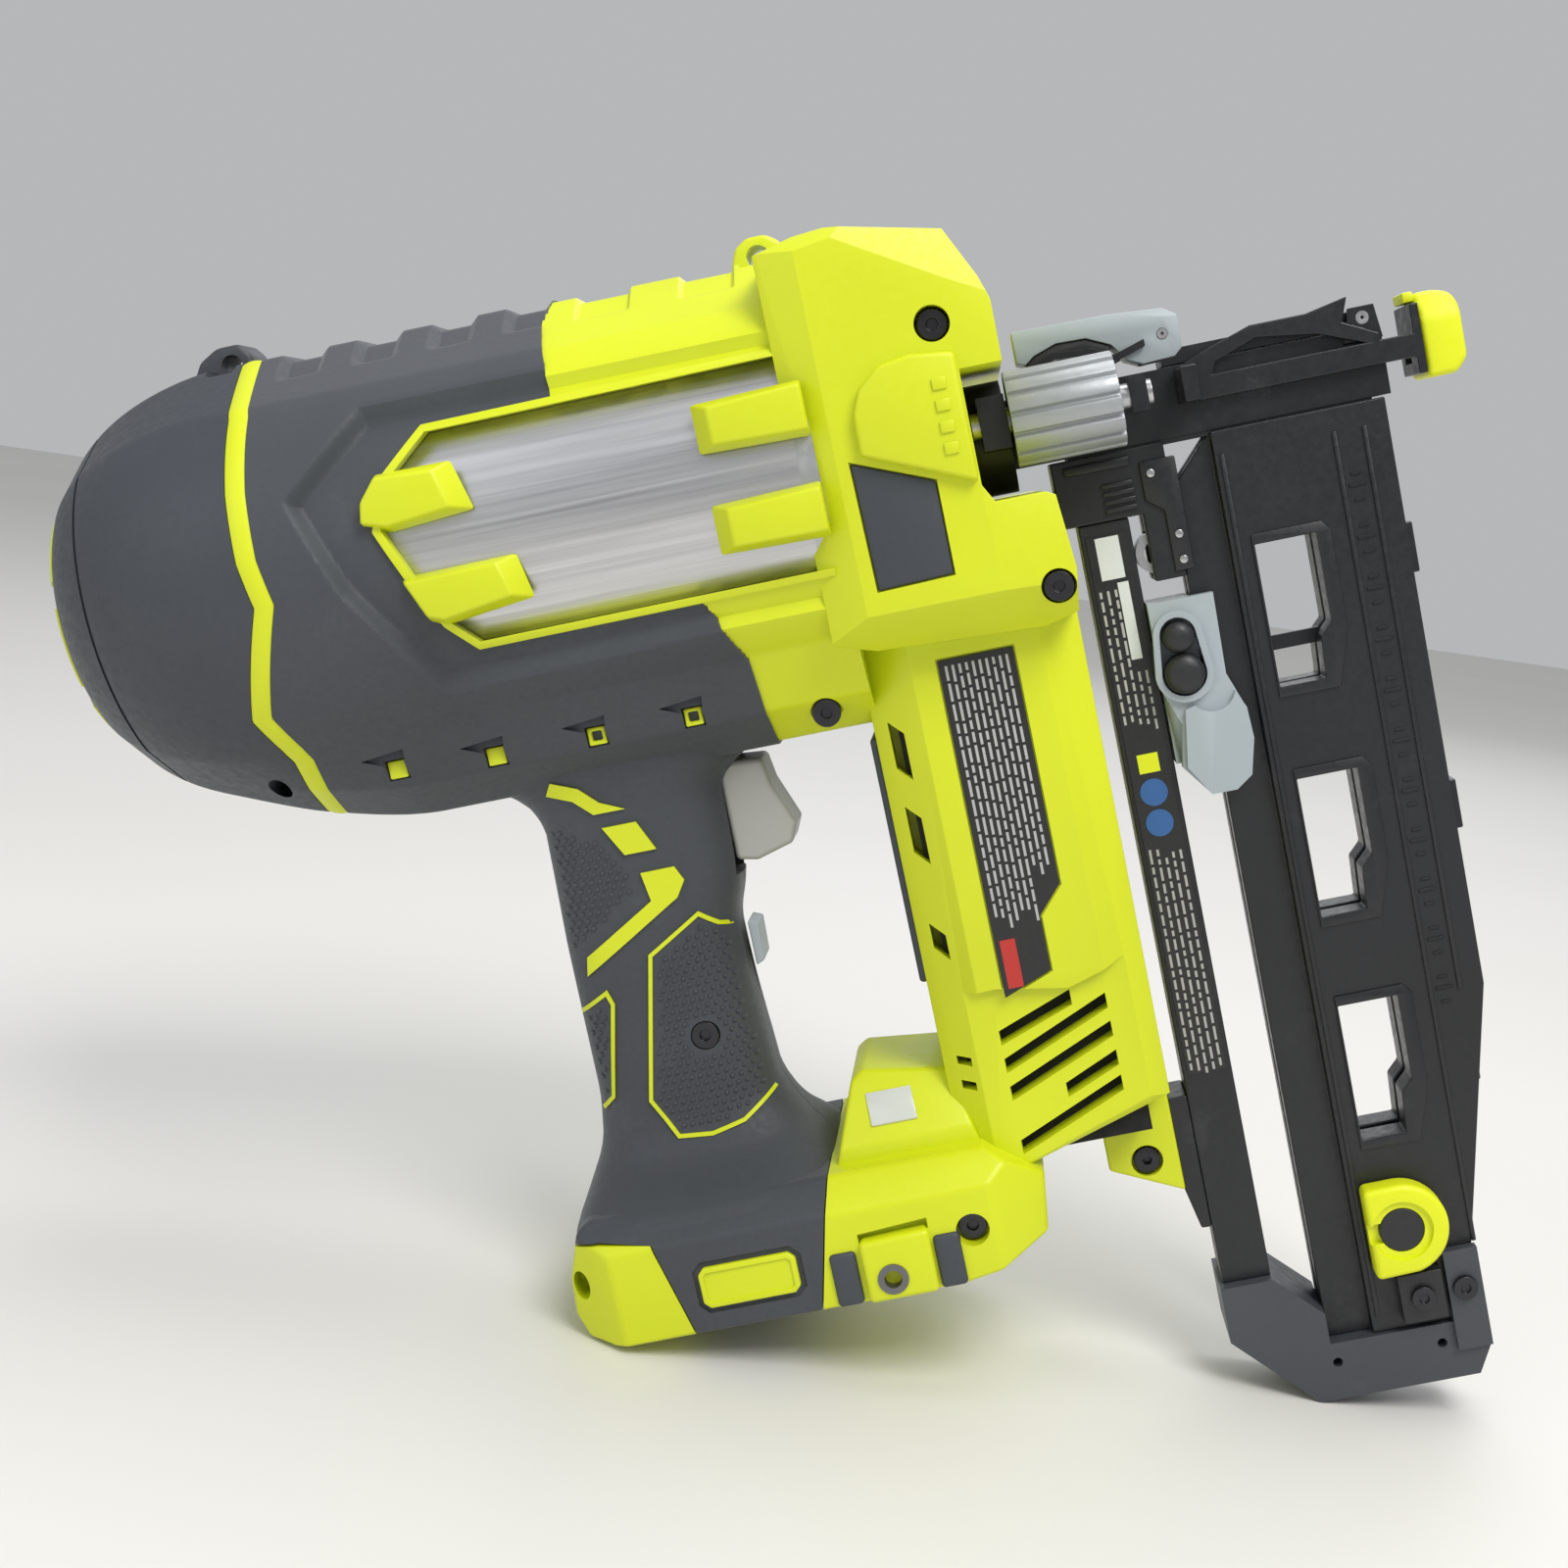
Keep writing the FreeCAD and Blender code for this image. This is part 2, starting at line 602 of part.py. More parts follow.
def housing_cavities(name):
    """Everything that is hollow inside the hard shell."""
    bore = rod(f"{name}_bore", "x", D.tube_radius + 0.1, (50, 183), (0, 0))
    head = plate(f"{name}_head", [
        (181, 44), (211, 44), (D.head_step - D.wall, 30), (D.head_step - D.wall, -15.2), (222, -15.2),
        (227, -29), (227, D.head_low + D.wall), (181, D.head_low + D.wall),
    ], (-D.head_half + D.wall, D.head_half - D.wall))
    notch = box(f"{name}_notch", (D.head_step, 240), (-D.reach, D.reach), (-13.6, 14.6))
    nose_way = rod(f"{name}_nose_way", "x", 8, (200, 240), (0, 0))
    strut = plate(f"{name}_strut", [
        (184, -35), (D.strut_front - D.wall, -35), (D.strut_front - D.wall, D.strut_low + 12),
        (190, D.strut_low + 4), (184, D.strut_low + 12),
    ], (-D.strut_half + D.wall, D.strut_half - D.wall))
    grip = box(f"{name}_grip", (D.socket_rear + 2, D.socket_front), (-11, 11), (-141, -52))
    trigger_way = box(f"{name}_trigger_way", (126, 150), (-D.trigger_half - 0.5, D.trigger_half + 0.5),
                      (-88.5, -60))
    socket = box(f"{name}_socket", (D.socket_rear, D.socket_front), (-D.socket_half, D.socket_half),
                 (D.foot_low - 1, D.socket_top))
    foot = box(f"{name}_foot", (142, 192), (-34, 34), (-184.5, -160))
    ear_hole = rod(f"{name}_ear_hole", "y", 2.6, (-10, 10), (D.top_ear_x, D.ear_z))
    ear_sides = both(f"{name}_ear_sides", lambda label: box(
        label, (D.top_ear_x - 4, D.top_ear_x + 4), (-D.reach, -D.ear_half), (D.ear_floor, D.ear_floor + 10)))
    tab_hole = rod(f"{name}_tab_hole", "y", 2.6, (-12, 12), (223.5, -178))
    lens = box(f"{name}_lens", (160, 172), (-27, -14), (-150, -141))
    hooks = both(f"{name}_hooks", lambda label: rod(
        label, "y", D.hook_bore + 1.5, (-D.foot_half - 4, -D.foot_half - 3 + D.hook_length),
        (D.hook_x, D.hook_z)))
    inserts = both(f"{name}_inserts", lambda label: head_insert(label))
    vent_slots = both(f"{name}_vents", vents)
    return [bore, head, notch, nose_way, strut, grip, trigger_way, socket, foot, ear_hole, ear_sides,
            tab_hole, lens, hooks, inserts, vent_slots, screw_wells(f"{name}_screws")]


def head_insert(name):
    """The dark panel let into the side of the head."""
    return plate(name, [(189, 0.5), (207, -6.5), (207, -27.5), (189, -27.5)],
                 (-D.head_half - 0.5, -D.head_half + D.insert_depth), corners=1)


def window_cut(name):
    """The side window runs through both walls of the barrel."""
    return plate(name, window_outline(0), (-D.reach, D.reach))


def window_lugs(name):
    """Four blocks that reach from the window's frame over the air cylinder."""
    lugs = []
    for index, (rear, front, low) in enumerate(((77, 103, 7.5), (83, 112, -15.5),
                                                (157, 182, 8.5), (157, 182, -14.5))):
        lugs.append(box(f"{name}_{index}", (rear, front), (-D.body_radius + 2.5, -40), (low, low + D.lug_height)))
    group = joined(f"{name}_blocks", *lugs)
    return cut(name, group, rod(f"{name}_bore", "x", D.tube_radius + 0.1, (60, 190), (0, 0)))


def clear(span):
    """A span widened by the seam at both ends."""
    return (span[0] - D.seam, span[1] + D.seam)


def shell_sections(name, side):
    """The regions that a shell half is made of: each is a solid of its own, a seam apart from the next."""
    sign = -1 if side == "right" else 1
    low, high = sorted((sign * 30, sign * 60))
    hook = ((D.hook_x - 8.5, D.hook_x + 9.5), (low, high), (D.foot_low - 5, D.foot_low + 16.5))
    ear = (EAR_ROOM["top"], EAR_WIDTH, EAR_HEIGHT)
    rooms = [
        # name, X span, Z span
        ("foot_rear", (-20, D.socket_rear), (-300, D.socket_top)),
        ("foot_side", (D.socket_rear + D.seam, D.socket_front), (-300, D.socket_top)),
        ("grip", (-20, 146), (D.socket_top + D.seam, -53)),
        ("barrel", (-20, 168), (-53 + D.seam, 100)),
        ("head", (168 + D.seam, 400), (-44, 100)),
        ("neck", (146 + D.seam, D.strut_rear), (-62, -53)),
        ("foot_front", (D.socket_front + D.seam, D.strut_rear), (-300, D.socket_top)),
        ("plateau", (146 + D.seam, D.strut_rear), (D.socket_top + D.seam, -136)),
        ("toe", (D.strut_rear + D.seam, 199.5), (-300, -159)),
        ("strut", (D.strut_rear + D.seam, 400), (-159 + D.seam, -44 - D.seam)),
        ("tab", (199.5 + D.seam, 400), (-300, -159)),
        ("neck_front", (168 + D.seam, D.strut_rear), (-53 + D.seam, -44 - D.seam)),
    ]
    sections = [(label, cut(f"{name}_{label}_room", box(f"{name}_{label}_span", x, WIDE, z),
                            box(f"{name}_{label}_hook", *map(clear, hook)),
                            box(f"{name}_{label}_ear", *map(clear, ear))))
                for label, x, z in rooms]
    sections.append(("hook_pad", box(f"{name}_hook_room", *hook)))
    sections.append(("ear", box(f"{name}_ear_room", *ear)))
    return sections


def shells():
    hard = cut("housing_open", housing_blank("housing_solid"), window_cut("housing_window"))
    framed = joined("housing_framed", hard, both("housing_lugs", window_lugs))
    whole = cut("housing_whole", framed, overmould_blank("housing_recess"),
                *housing_cavities("housing_hollow"))
    for side in ("right", "left"):
        node(f"housing_{side}", grouped(f"housing_{side}_group", half(f"housing_{side}_half", whole, side),
                                        shell_sections(f"housing_{side}", side)))
    skin = cut("overmould_whole", overmould_blank("overmould_solid"),
               window_lugs("overmould_lugs"), mirrored("overmould_lugs_far", window_lugs("overmould_lugs_twin")),
               box("overmould_trigger", (126, 150), (-D.trigger_half - 0.5, D.trigger_half + 0.5), (-88.5, -60)),
               box("overmould_socket", (D.socket_rear, D.socket_front), (-D.socket_half, D.socket_half),
                   (D.foot_low - 1, D.socket_top)),
               rod("overmould_screw", "y", 3.6, (-20, -10), (126, -124)))
    for side in ("right", "left"):
        node(f"overmould_{side}", half(f"overmould_{side}", skin, side))
    node("head_inserts", both("inserts", lambda label: cut(
        label, head_insert(f"{label}_panel"),
        box(f"{label}_trim", (180, 210), (-60, -D.head_half), (-40, 10)))))


def rear_cap():
    """The dark dome that closes the barrel, with its lifting ear, and the coloured band in front of it."""
    dome = rod("cap_dome", "x", D.body_radius, (D.cap_rear, D.cap_front), (0, 0))
    doc.recompute()
    shoulder = named("Part::Fillet", "cap_shoulder")
    shoulder.Base = dome
    rear = [index for index, edge in enumerate(dome.Shape.Edges, start=1)
            if edge.BoundBox.XMax < D.cap_rear.number + 0.1]
    shoulder.Edges = [(index, D.cap_curve.number, D.cap_curve.number) for index in rear]
    ear = plate("cap_ear", [(42, 45), (46, 54.5), (54, 56), (54, 45)], (-D.ear_half, D.ear_half), corners=1.5)
    inside = rod("cap_inside", "x", D.body_radius - 6, (D.cap_rear + 16, D.cap_front + 1), (0, 0))
    pole = rod("cap_pole", "x", 24, (D.cap_rear + 4, D.cap_rear + 20), (0, 0))
    ear_hole = rod("cap_ear_hole", "y", 2.4, (-10, 10), (D.rear_ear_x, D.ear_z))
    ear_sides = both("cap_ear_sides", lambda label: box(
        label, (D.rear_ear_x - 3.5, D.rear_ear_x + 3.5), (-D.reach, -D.ear_half), (D.ear_floor, D.ear_floor + 10)))
    low_hole = rod("cap_low_hole", "y", 2.4, (-30, -5), (44, -46))
    whole = cut("cap", joined("cap_solid", shoulder, ear), inside, pole, ear_hole, ear_sides, low_hole)
    step = D.cap_rear + 16
    node("rear_cap", grouped("cap_group", whole, [
        ("back", box("cap_back", (-20, step - D.seam), WIDE, TALL)),
        ("ear", box("cap_ear_room", EAR_ROOM["rear"], EAR_WIDTH, EAR_HEIGHT)),
        ("ring", cut("cap_ring", box("cap_ring_room", (step, 400), WIDE, TALL),
                     box("cap_ring_gap", clear(EAR_ROOM["rear"]), clear(EAR_WIDTH), clear(EAR_HEIGHT)))),
    ]))
    node("cap_band", tube("band", "x", D.body_radius + 0.4, D.tube_radius + 0.1,
                          (D.cap_front, D.band_front), (0, 0)))


# ---------------------------------------------------------------- air spring, inside the barrel


def air_spring():
    front = D.barrel_front - 2
    node("air_cylinder", tube("air_tube", "x", D.tube_radius, D.tube_bore, (62, front), (0, 0)))
    end = rod("end_disc", "x", D.tube_radius, (56, 62), (0, 0))
    boss = rod("end_boss", "x", D.tube_bore - 0.1, (62, 66), (0, 0))
    ports = [rod(f"end_port_{index}", "x", 4, (50, 70),
                 (25 * math.cos(index * math.pi / 3), 25 * math.sin(index * math.pi / 3)))
             for index in range(6)]
    node("cylinder_end_plate", cut("end_plate", joined("end_solid", end, boss), *ports,
                                   rod("end_centre", "x", 6, (50, 70), (0, 0))))
    node("end_plate_seal", tube("end_seal", "x", D.tube_bore, 41, (66, 68.4), (0, 0)))
    node("drive_cylinder", tube("stage_tube", "x", D.stage_radius, D.stage_bore, (68.6, 184), (0, 0)))
    plate_front = rod("front_disc", "x", D.tube_radius, (front, front + 4), (0, 0))
    slots = both("front_slots", lambda label: box(
        label, (170, 190), (-D.rod_outer - 1.5, -D.rod_inner + 1.5), (D.crank_z - 5, D.crank_z + 5)))
    node("cylinder_front_plate", cut("front_plate", plate_front, slots,
                                     rod("front_hole", "x", D.stage_radius, (170, 190), (0, 0))))
    node("bumper", tube("bumper_ring", "x", D.stage_bore, 5.5, (174, 184), (0, 0)))
    outer = D.tube_bore - D.seal_gap
    inner = D.stage_radius + D.seal_gap
    ring = tube("squeeze_ring", "x", outer, inner, (148, 162), (0, 0))
    groove = tube("squeeze_groove", "x", outer + 1, outer - 2, (153.5, 156.5), (0, 0))
    node("compression_piston", cut("squeeze_piston", ring, groove))
    node("compression_seal", tube("squeeze_seal", "x", outer + 0.2, outer - 2, (153.5, 156.5), (0, 0)))

    def connecting_rod(label):
        shank = box(f"{label}_shank", (162, D.crank_x + D.crank_throw), (-D.rod_outer, -D.rod_inner),
                    (D.crank_z - 3, D.crank_z + 3))
        eye = rod(f"{label}_eye", "y", 5, (-D.rod_outer, -D.rod_inner),
                  (D.crank_x + D.crank_throw, D.crank_z))
        hole = rod(f"{label}_hole", "y", 2.5, (-D.rod_outer - 1, -D.rod_inner + 1),
                   (D.crank_x + D.crank_throw, D.crank_z))
        return cut(label, joined(f"{label}_solid", shank, eye), hole)

    node("connecting_rods", both("rods", connecting_rod))


def driver():
    """Drive piston, its ring and the blade that strikes the nail, drawn back ready to fire."""
    radius = D.stage_bore - D.seal_gap
    body = rod("ram_body", "x", radius, (70, 84), (0, 0))
    groove = tube("ram_groove", "x", radius + 1, radius - 1.5, (75, 77.5), (0, 0))
    neck = rod("ram_neck", "x", 5, (84, 92), (0, 0))
    root = box("ram_root", (86, 93), (-D.blade_half, D.blade_half), (-D.blade_high, D.blade_high))
    node("drive_piston", cut("ram", joined("ram_solid", body, neck), groove, root))
    node("drive_piston_ring", tube("ram_ring", "x", radius + 0.15, radius - 1.5, (75, 77.5), (0, 0)))
    node("driver_blade", plate("blade", [
        (86, -D.blade_half), (238, -D.blade_half), (238, D.blade_half), (86, D.blade_half),
    ], (-D.blade_high, D.blade_high), plane="XY", corners=0.3))


def toothed(name, body, axis, radius, tooth, count, along, centre):
    """A wheel with small teeth on its rim, spaced evenly."""
    teeth = []
    for index in range(count):
        angle = 2 * math.pi * index / count
        block = named("Part::Box", f"{name}_tooth_{index}")
        bind(block, "Length", tooth * 2)
        bind(block, "Width", tooth)
        bind(block, "Height", dim(along[1]) - along[0])
        turn = FreeCAD.Rotation(V(0, 0, 1), math.degrees(angle))
        out = turn.multVec(V(dim(radius).number - tooth, -tooth / 2, 0))
        base = TURNS[axis].multVec(out)
        place = {"y": V(dim(centre[0]).number, dim(along[0]).number, dim(centre[1]).number),
                 "z": V(dim(centre[0]).number, dim(centre[1]).number, dim(along[0]).number)}[axis]
        block.Placement = FreeCAD.Placement(place + base, TURNS[axis].multiply(turn))
        teeth.append(block)
    return joined(name, body, *teeth)


def crank():
    """Cross shaft with a web and a short pin at each end, and the crown gear that turns it."""
    centre = (D.crank_x, D.crank_z)
    pin_centre = (D.crank_x + D.crank_throw, D.crank_z)
    shaft = rod("crank_shaft", "y", 4, (-D.web_outer, D.web_outer), centre)

    def web(label):
        disc = rod(f"{label}_disc", "y", D.crank_web, (-D.web_outer, -D.web_inner), centre)
        pin = rod(f"{label}_pin", "y", 2.2, (-D.rod_inner + 0.5, -D.web_inner), pin_centre)
        return joined(label, disc, pin)

    node("crankshaft", joined("crank", shaft, both("crank_webs", web)))
    wheel = tube("crown_wheel", "y", D.gear_radius, 4, (5.8, 10.5), centre)
    node("crown_gear", toothed("crown", wheel, "y", D.gear_radius, 0.8, int(D.gear_teeth.number),
                               (5.8, 9), centre))


def motor_and_gearbox():
    centre = (D.crank_x, 0)
    case = rod("box_case", "z", D.box_radius, (D.box_low, D.box_top), centre)
    hollow = rod("box_hollow", "z", D.box_radius - 3, (D.box_low + 2, D.box_top - 3), centre)
    way = rod("box_way", "z", 4.5, (D.box_low - 1, D.box_top + 1), centre)
    uprights = both("crank_uprights", lambda label: joined(
        label,
        box(f"{label}_post", (D.crank_x - 9, D.crank_x + 9), (-D.web_inner + 0.5, -11.2),
            (D.box_top - 2, D.crank_z)),
        rod(f"{label}_eye", "y", 9, (-D.web_inner + 0.5, -11.2), (D.crank_x, D.crank_z))))
    bearing_way = rod("crank_bearing_way", "y", 7, (-20, 20), (D.crank_x, D.crank_z))
    node("gearbox_case", cut("gearbox", joined("gearbox_solid", case, uprights), hollow, way, bearing_way))
    carrier = rod("carrier_disc", "z", 14, (D.box_low + 11, D.box_low + 14), centre)
    stem = rod("carrier_stem", "z", 4, (D.box_low + 14, -34), centre)
    pinion = rod("carrier_pinion", "z", 4.6, (-46, -34), centre)
    output = toothed("output", joined("output_solid", carrier, stem, pinion), "z", 4.6, 0.8,
                     int(D.pinion_teeth.number), (-46, -34), centre)
    node("output_pinion", output)
    planets = []
    for index in range(3):
        angle = 2 * math.pi * index / 3
        planets.append(rod(f"planet_{index}", "z", 5, (D.box_low + 3, D.box_low + 10.8),
                           (D.crank_x + 9.2 * math.cos(angle), 9.2 * math.sin(angle))))
    node("planet_gears", joined("planets", *planets))
    can = rod("can_outside", "z", D.motor_radius, (D.motor_low, D.motor_top), centre)
    room = rod("can_inside", "z", D.motor_radius - 1.5, (D.motor_low + 3, D.motor_top - 3), centre)
    ends = rod("can_ends", "z", 6.5, (D.motor_low - 1, D.motor_top + 1), centre)
    node("motor_can", cut("can", can, room, ends))
    node("motor_magnets", tube("magnets", "z", D.motor_radius - 1.5, 14.6,
                               (D.motor_low + 8, D.motor_top - 8), centre))
    motor_pair = [tube(f"bearing_{index}", "z", 6.5, D.shaft_radius + 0.05, (low, low + 3), centre)
                  for index, low in enumerate((D.motor_low, D.motor_top - 3))]
    crank_pair = both("crank_rings", lambda label: tube(
        label, "y", 7, 4.05, (-D.web_inner + 0.5, -11.2), (D.crank_x, D.crank_z)))
    node("bearings", joined("bearing_set", *motor_pair, crank_pair))
    shaft = rod("rotor_shaft", "z", D.shaft_radius, (D.motor_low - 10, D.box_low + 2.4), centre)
    core = rod("rotor_core", "z", 13.8, (D.motor_low + 7, D.motor_top - 7), centre)
    sun = rod("rotor_sun", "z", 3.8, (D.box_low + 2.4, D.box_low + 10), centre)
    node("motor_rotor", joined("rotor", shaft, core, sun))
    hub = tube("fan_hub", "z", 6, D.shaft_radius, (D.motor_low - 9, D.motor_low - 2), centre)
    blades = []
    for index in range(9):
        blade = named("Part::Box", f"fan_blade_{index}")
        blade.Length = 12
        blade.Width = 1.2
        blade.Height = 6
        turn = FreeCAD.Rotation(V(0, 0, 1), 40 * index)
        middle = V(D.crank_x.number, 0, D.motor_low.number - 8.5)
        blade.Placement = FreeCAD.Placement(middle + turn.multVec(V(5.5, -0.6, 0)), turn)
        blades.append(blade)
    node("cooling_fan", joined("fan", hub, *blades))


# ---------------------------------------------------------------- handle and foot


def trigger_parts():
    face = plate("trigger_face", [
        (D.trigger_rear, -61.5), (D.trigger_rear + 11, -62.5), (D.trigger_rear + 12, -69),
        (D.trigger_tip, -79.5), (D.trigger_tip - 2, -84), (D.trigger_rear + 5, -86.5),
        (D.trigger_rear, -85.5),
    ], (-D.trigger_half, D.trigger_half), corners=1.5, rim=1.5)
    tail = box("trigger_tail", (132, D.trigger_rear + 3), (-5, 5), (-81, -65))
    node("trigger", joined("trigger_whole", face, tail))
    case = box("switch_case", (108, 124), (-7, 7), (-86, -63))
    plunger = rod("switch_plunger", "x", 2, (124, 126.4), (0, -73))
    spring = tube("spring_coil", "x", 3, 2.2, (124, 126.6), (0, -67))
    node("trigger_switch", joined("switch", case, plunger, spring))
    node("grip_insert", plate("insert_strip", [
        (D.grip_front, -101), (D.grip_front + 2.5, -102), (D.grip_front + 2.2, -111), (D.grip_front, -112),
    ], (-6, 6)))


def foot_parts():
    board = box("board_sheet", (146, 188), (-30, 30), (-181, -179.4))
    parts = [box(f"board_chip_{index}", (x, x + 8), (y, y + 10), (-179.4, -174))
             for index, (x, y) in enumerate(((150, -22), (150, 8), (166, -10), (176, 12)))]
    node("circuit_board", joined("board", board, *parts))
    base = box("terminal_base", (110, 126), (-10, 10), (D.socket_top - 5, D.socket_top))
    blades = [box(f"terminal_blade_{index}", (112, 124), (y - 0.5, y + 0.5), (D.socket_top - 14, D.socket_top - 5))
              for index, y in enumerate((-6, 0, 6))]
    node("terminal_block", joined("terminals", base, *blades))
    node("light_lens", plate("lens", [(160, -149.8), (172, -149.8), (172, -143.6), (160, -142.8)],
                             (-26.8, -14.2), corners=0.5))
    node("foot_badges", both("badges", lambda label: plate(
        label, [(114.5, -184), (138, -184), (138, -174.5), (114.5, -174.5)],
        (-D.foot_half - 1.4, -D.foot_half), corners=2)))
    node("hook_inserts", both("bushes", lambda label: tube(
        label, "y", D.hook_bore + 1.5, D.hook_bore,
        (-D.foot_half - 3, -D.foot_half - 3 + D.hook_length), (D.hook_x, D.hook_z))))
    node("foot_bars", both("bars", lambda label: joined(label, *[
        box(f"{label}_{index}", (rear, rear + 5), (-D.foot_half - 1.5, -D.foot_half), (-187, -176))
        for index, rear in enumerate((146.8, 170.2))])))


def screws():
    """Housing screws and the magazine's two screws, each with a socket in its head."""
    heads = []
    for index, (x, z, depth, face) in enumerate(SCREW_PLACES):
        seat = depth - face
        head = rod(f"screw_head_{index}", "y", 3.3, (seat - 2, seat), (x, z))
        shank = rod(f"screw_shank_{index}", "y", 1.6, (seat, 5.0), (x, z))
        drive = rod(f"screw_drive_{index}", "y", 1.3, (seat - 3, seat - 0.8), (x, z))
        heads.append(cut(f"screw_{index}", joined(f"screw_solid_{index}", head, shank), drive))
    short = [
        cut(f"magazine_screw_{index}",
            rod(f"magazine_screw_head_{index}", "y", 3, (-face - 1.6, -face), (x, z)),
            rod(f"magazine_screw_drive_{index}", "y", 1.2, (-face - 3, -face - 0.8), (x, z)))
        for index, (x, z, face) in enumerate(MAGAZINE_SCREWS)]
    node("screws", joined("screw_group", *heads, *short))


def labels():
    rating = plate("rating", [
        (198, -46.5), (216, -46.5), (216, -101), (210, -108.5), (210, -121), (198, -126.5),
    ], (-D.strut_half - 0.5, -D.strut_half))
    strip = plate("rail_label", [
        (237.2, -159), (246.8, -159), (246.8, -27), (237.2, -27),
    ], (-D.rail_half - 0.4, -D.rail_half))
    node("label_plates", joined("label_pair", rating, strip))


# ---------------------------------------------------------------- magazine


def magazine():
    track = plate("track_solid", [
        (D.track_rear, -20), (D.track_step, D.track_top), (D.track_front, D.track_top),
        (D.track_front, D.track_taper), (D.track_front - 14, -216), (D.track_front - 14, D.track_low),
        (D.track_rear, D.track_low),
    ], (-D.track_half, D.track_half))
    thin = both("track_thin", lambda label: box(
        label, (D.track_rear - 1, D.track_step), (-D.track_half - 1, -D.track_neck), (-240, 0)))
    slot = plate("track_slot", [
        (D.track_rear - 1, 0), (D.track_front - 2.5, 0), (D.track_front - 2.5, D.track_taper),
        (D.track_front - 16.5, -216), (D.track_front - 16.5, -240), (D.track_rear - 1, -240),
    ], (-D.nail_half, D.nail_half))
    sights = []
    ledges = []
    for index in range(3):
        top = D.sight_top - index * D.sight_pitch
        low = top - D.sight_tall
        sights.append(plate(f"sight_{index}", [
            (D.sight_rear, top), (D.sight_front, top), (D.sight_front, low + 13), (D.sight_front - 3, low + 10),
            (D.sight_front - 3.5, low), (D.sight_rear, low),
        ], (-D.reach, D.reach)))
        front = D.track_front - (0, 0, 6)[index]
        ledge = top - 2 - index * 6
        ledges.append(box(f"ledge_{index}", (front - 7, front + 2.2), (-5, 5), (ledge - 12, ledge)))
    shaped = cut("track_open", joined("track_ribbed", track, *ledges), thin, slot, *sights)
    node("magazine_track", shaped)
    rail = box("rail_bar", (D.rail_rear, D.rail_front), (-D.rail_half, D.rail_half), (D.rail_low, D.rail_top))
    groove = box("rail_groove", (D.rail_front - 2.5, D.rail_front + 1), (-1.9, 1.9), (-240, 0))
    node("nail_rail", cut("rail", rail, groove))
    bridge = plate("bridge", [
        (D.rail_rear - 3.8, -8.4), (D.track_rear, -8.4), (D.track_rear, -40), (251.5, -40), (251.5, D.rail_top),
        (D.rail_rear - 3.8, D.rail_top),
    ], (-8, 8))
    upper = cut("bridge_open", bridge, box(
        "bridge_slot", (D.rail_front - 2.5, D.track_rear + 1), (-D.nail_half, D.nail_half), (-41, -8)),
        rod("bridge_pocket", "y", 5.4, (-4.5, 4.5), (253.3, -33.5)))
    lower = plate("mount_block", [
        (D.strut_front + 0.1, -164), (D.rail_rear, -164), (D.rail_rear, -198), (D.strut_front + 2.5, -198),
        (D.strut_front + 0.1, -187),
    ], (-7, 7))
    node("magazine_mounts", joined("mount_pair", upper, lower))
    cap = plate("end_cap_solid", [
        (D.rail_rear - 1, D.rail_low), (D.rail_front, D.rail_low), (D.track_rear, -224),
        (D.track_rear, D.track_low), (D.track_front - 13, D.track_low), (D.track_front - 13, -239),
        (D.track_front - 17, D.cap_low), (D.cap_corner, D.cap_low), (D.rail_rear - 1, -227),
    ], (-D.cap_half, D.cap_half))
    ear = box("end_cap_ear", (289.5, D.track_front - 13), (-D.cap_half - 1.5, -D.track_half - 0.1), (-239, -213.5))
    holes = [rod(f"end_cap_hole_{index}", "y", 1.2, (-20, 20), (x, -237)) for index, x in enumerate((260, 286))]
    node("magazine_end_cap", cut("end_cap", joined("end_cap_whole", cap, ear), *holes,
                                 rod("end_cap_screw_hole", "y", 1.8, (-20, -5), (293.5, -223))))
    centre = (280.5, -204.5)
    disc = rod("spare_disc", "y", 11.5, (-D.track_half - 7.5, -D.track_half - 0.1), centre)
    flat = box("spare_flat", (272.5, 280.5), (-D.track_half - 7.5, -D.track_half - 0.1), (-216, -193))
    pad = joined("spare_solid", disc, flat)
    node("spare_pad", cut("spare", pad, rod("spare_hole", "y", 5.5, (-30, 0), centre)))
    node("pad_peg", joined("peg", rod("peg_stem", "y", 5.4, (-D.track_half - 6.5, -D.track_half), centre),
                           box("peg_block", (277.5, 288.5), (-D.track_half - 4, -D.track_half), (-229.5, -217))))


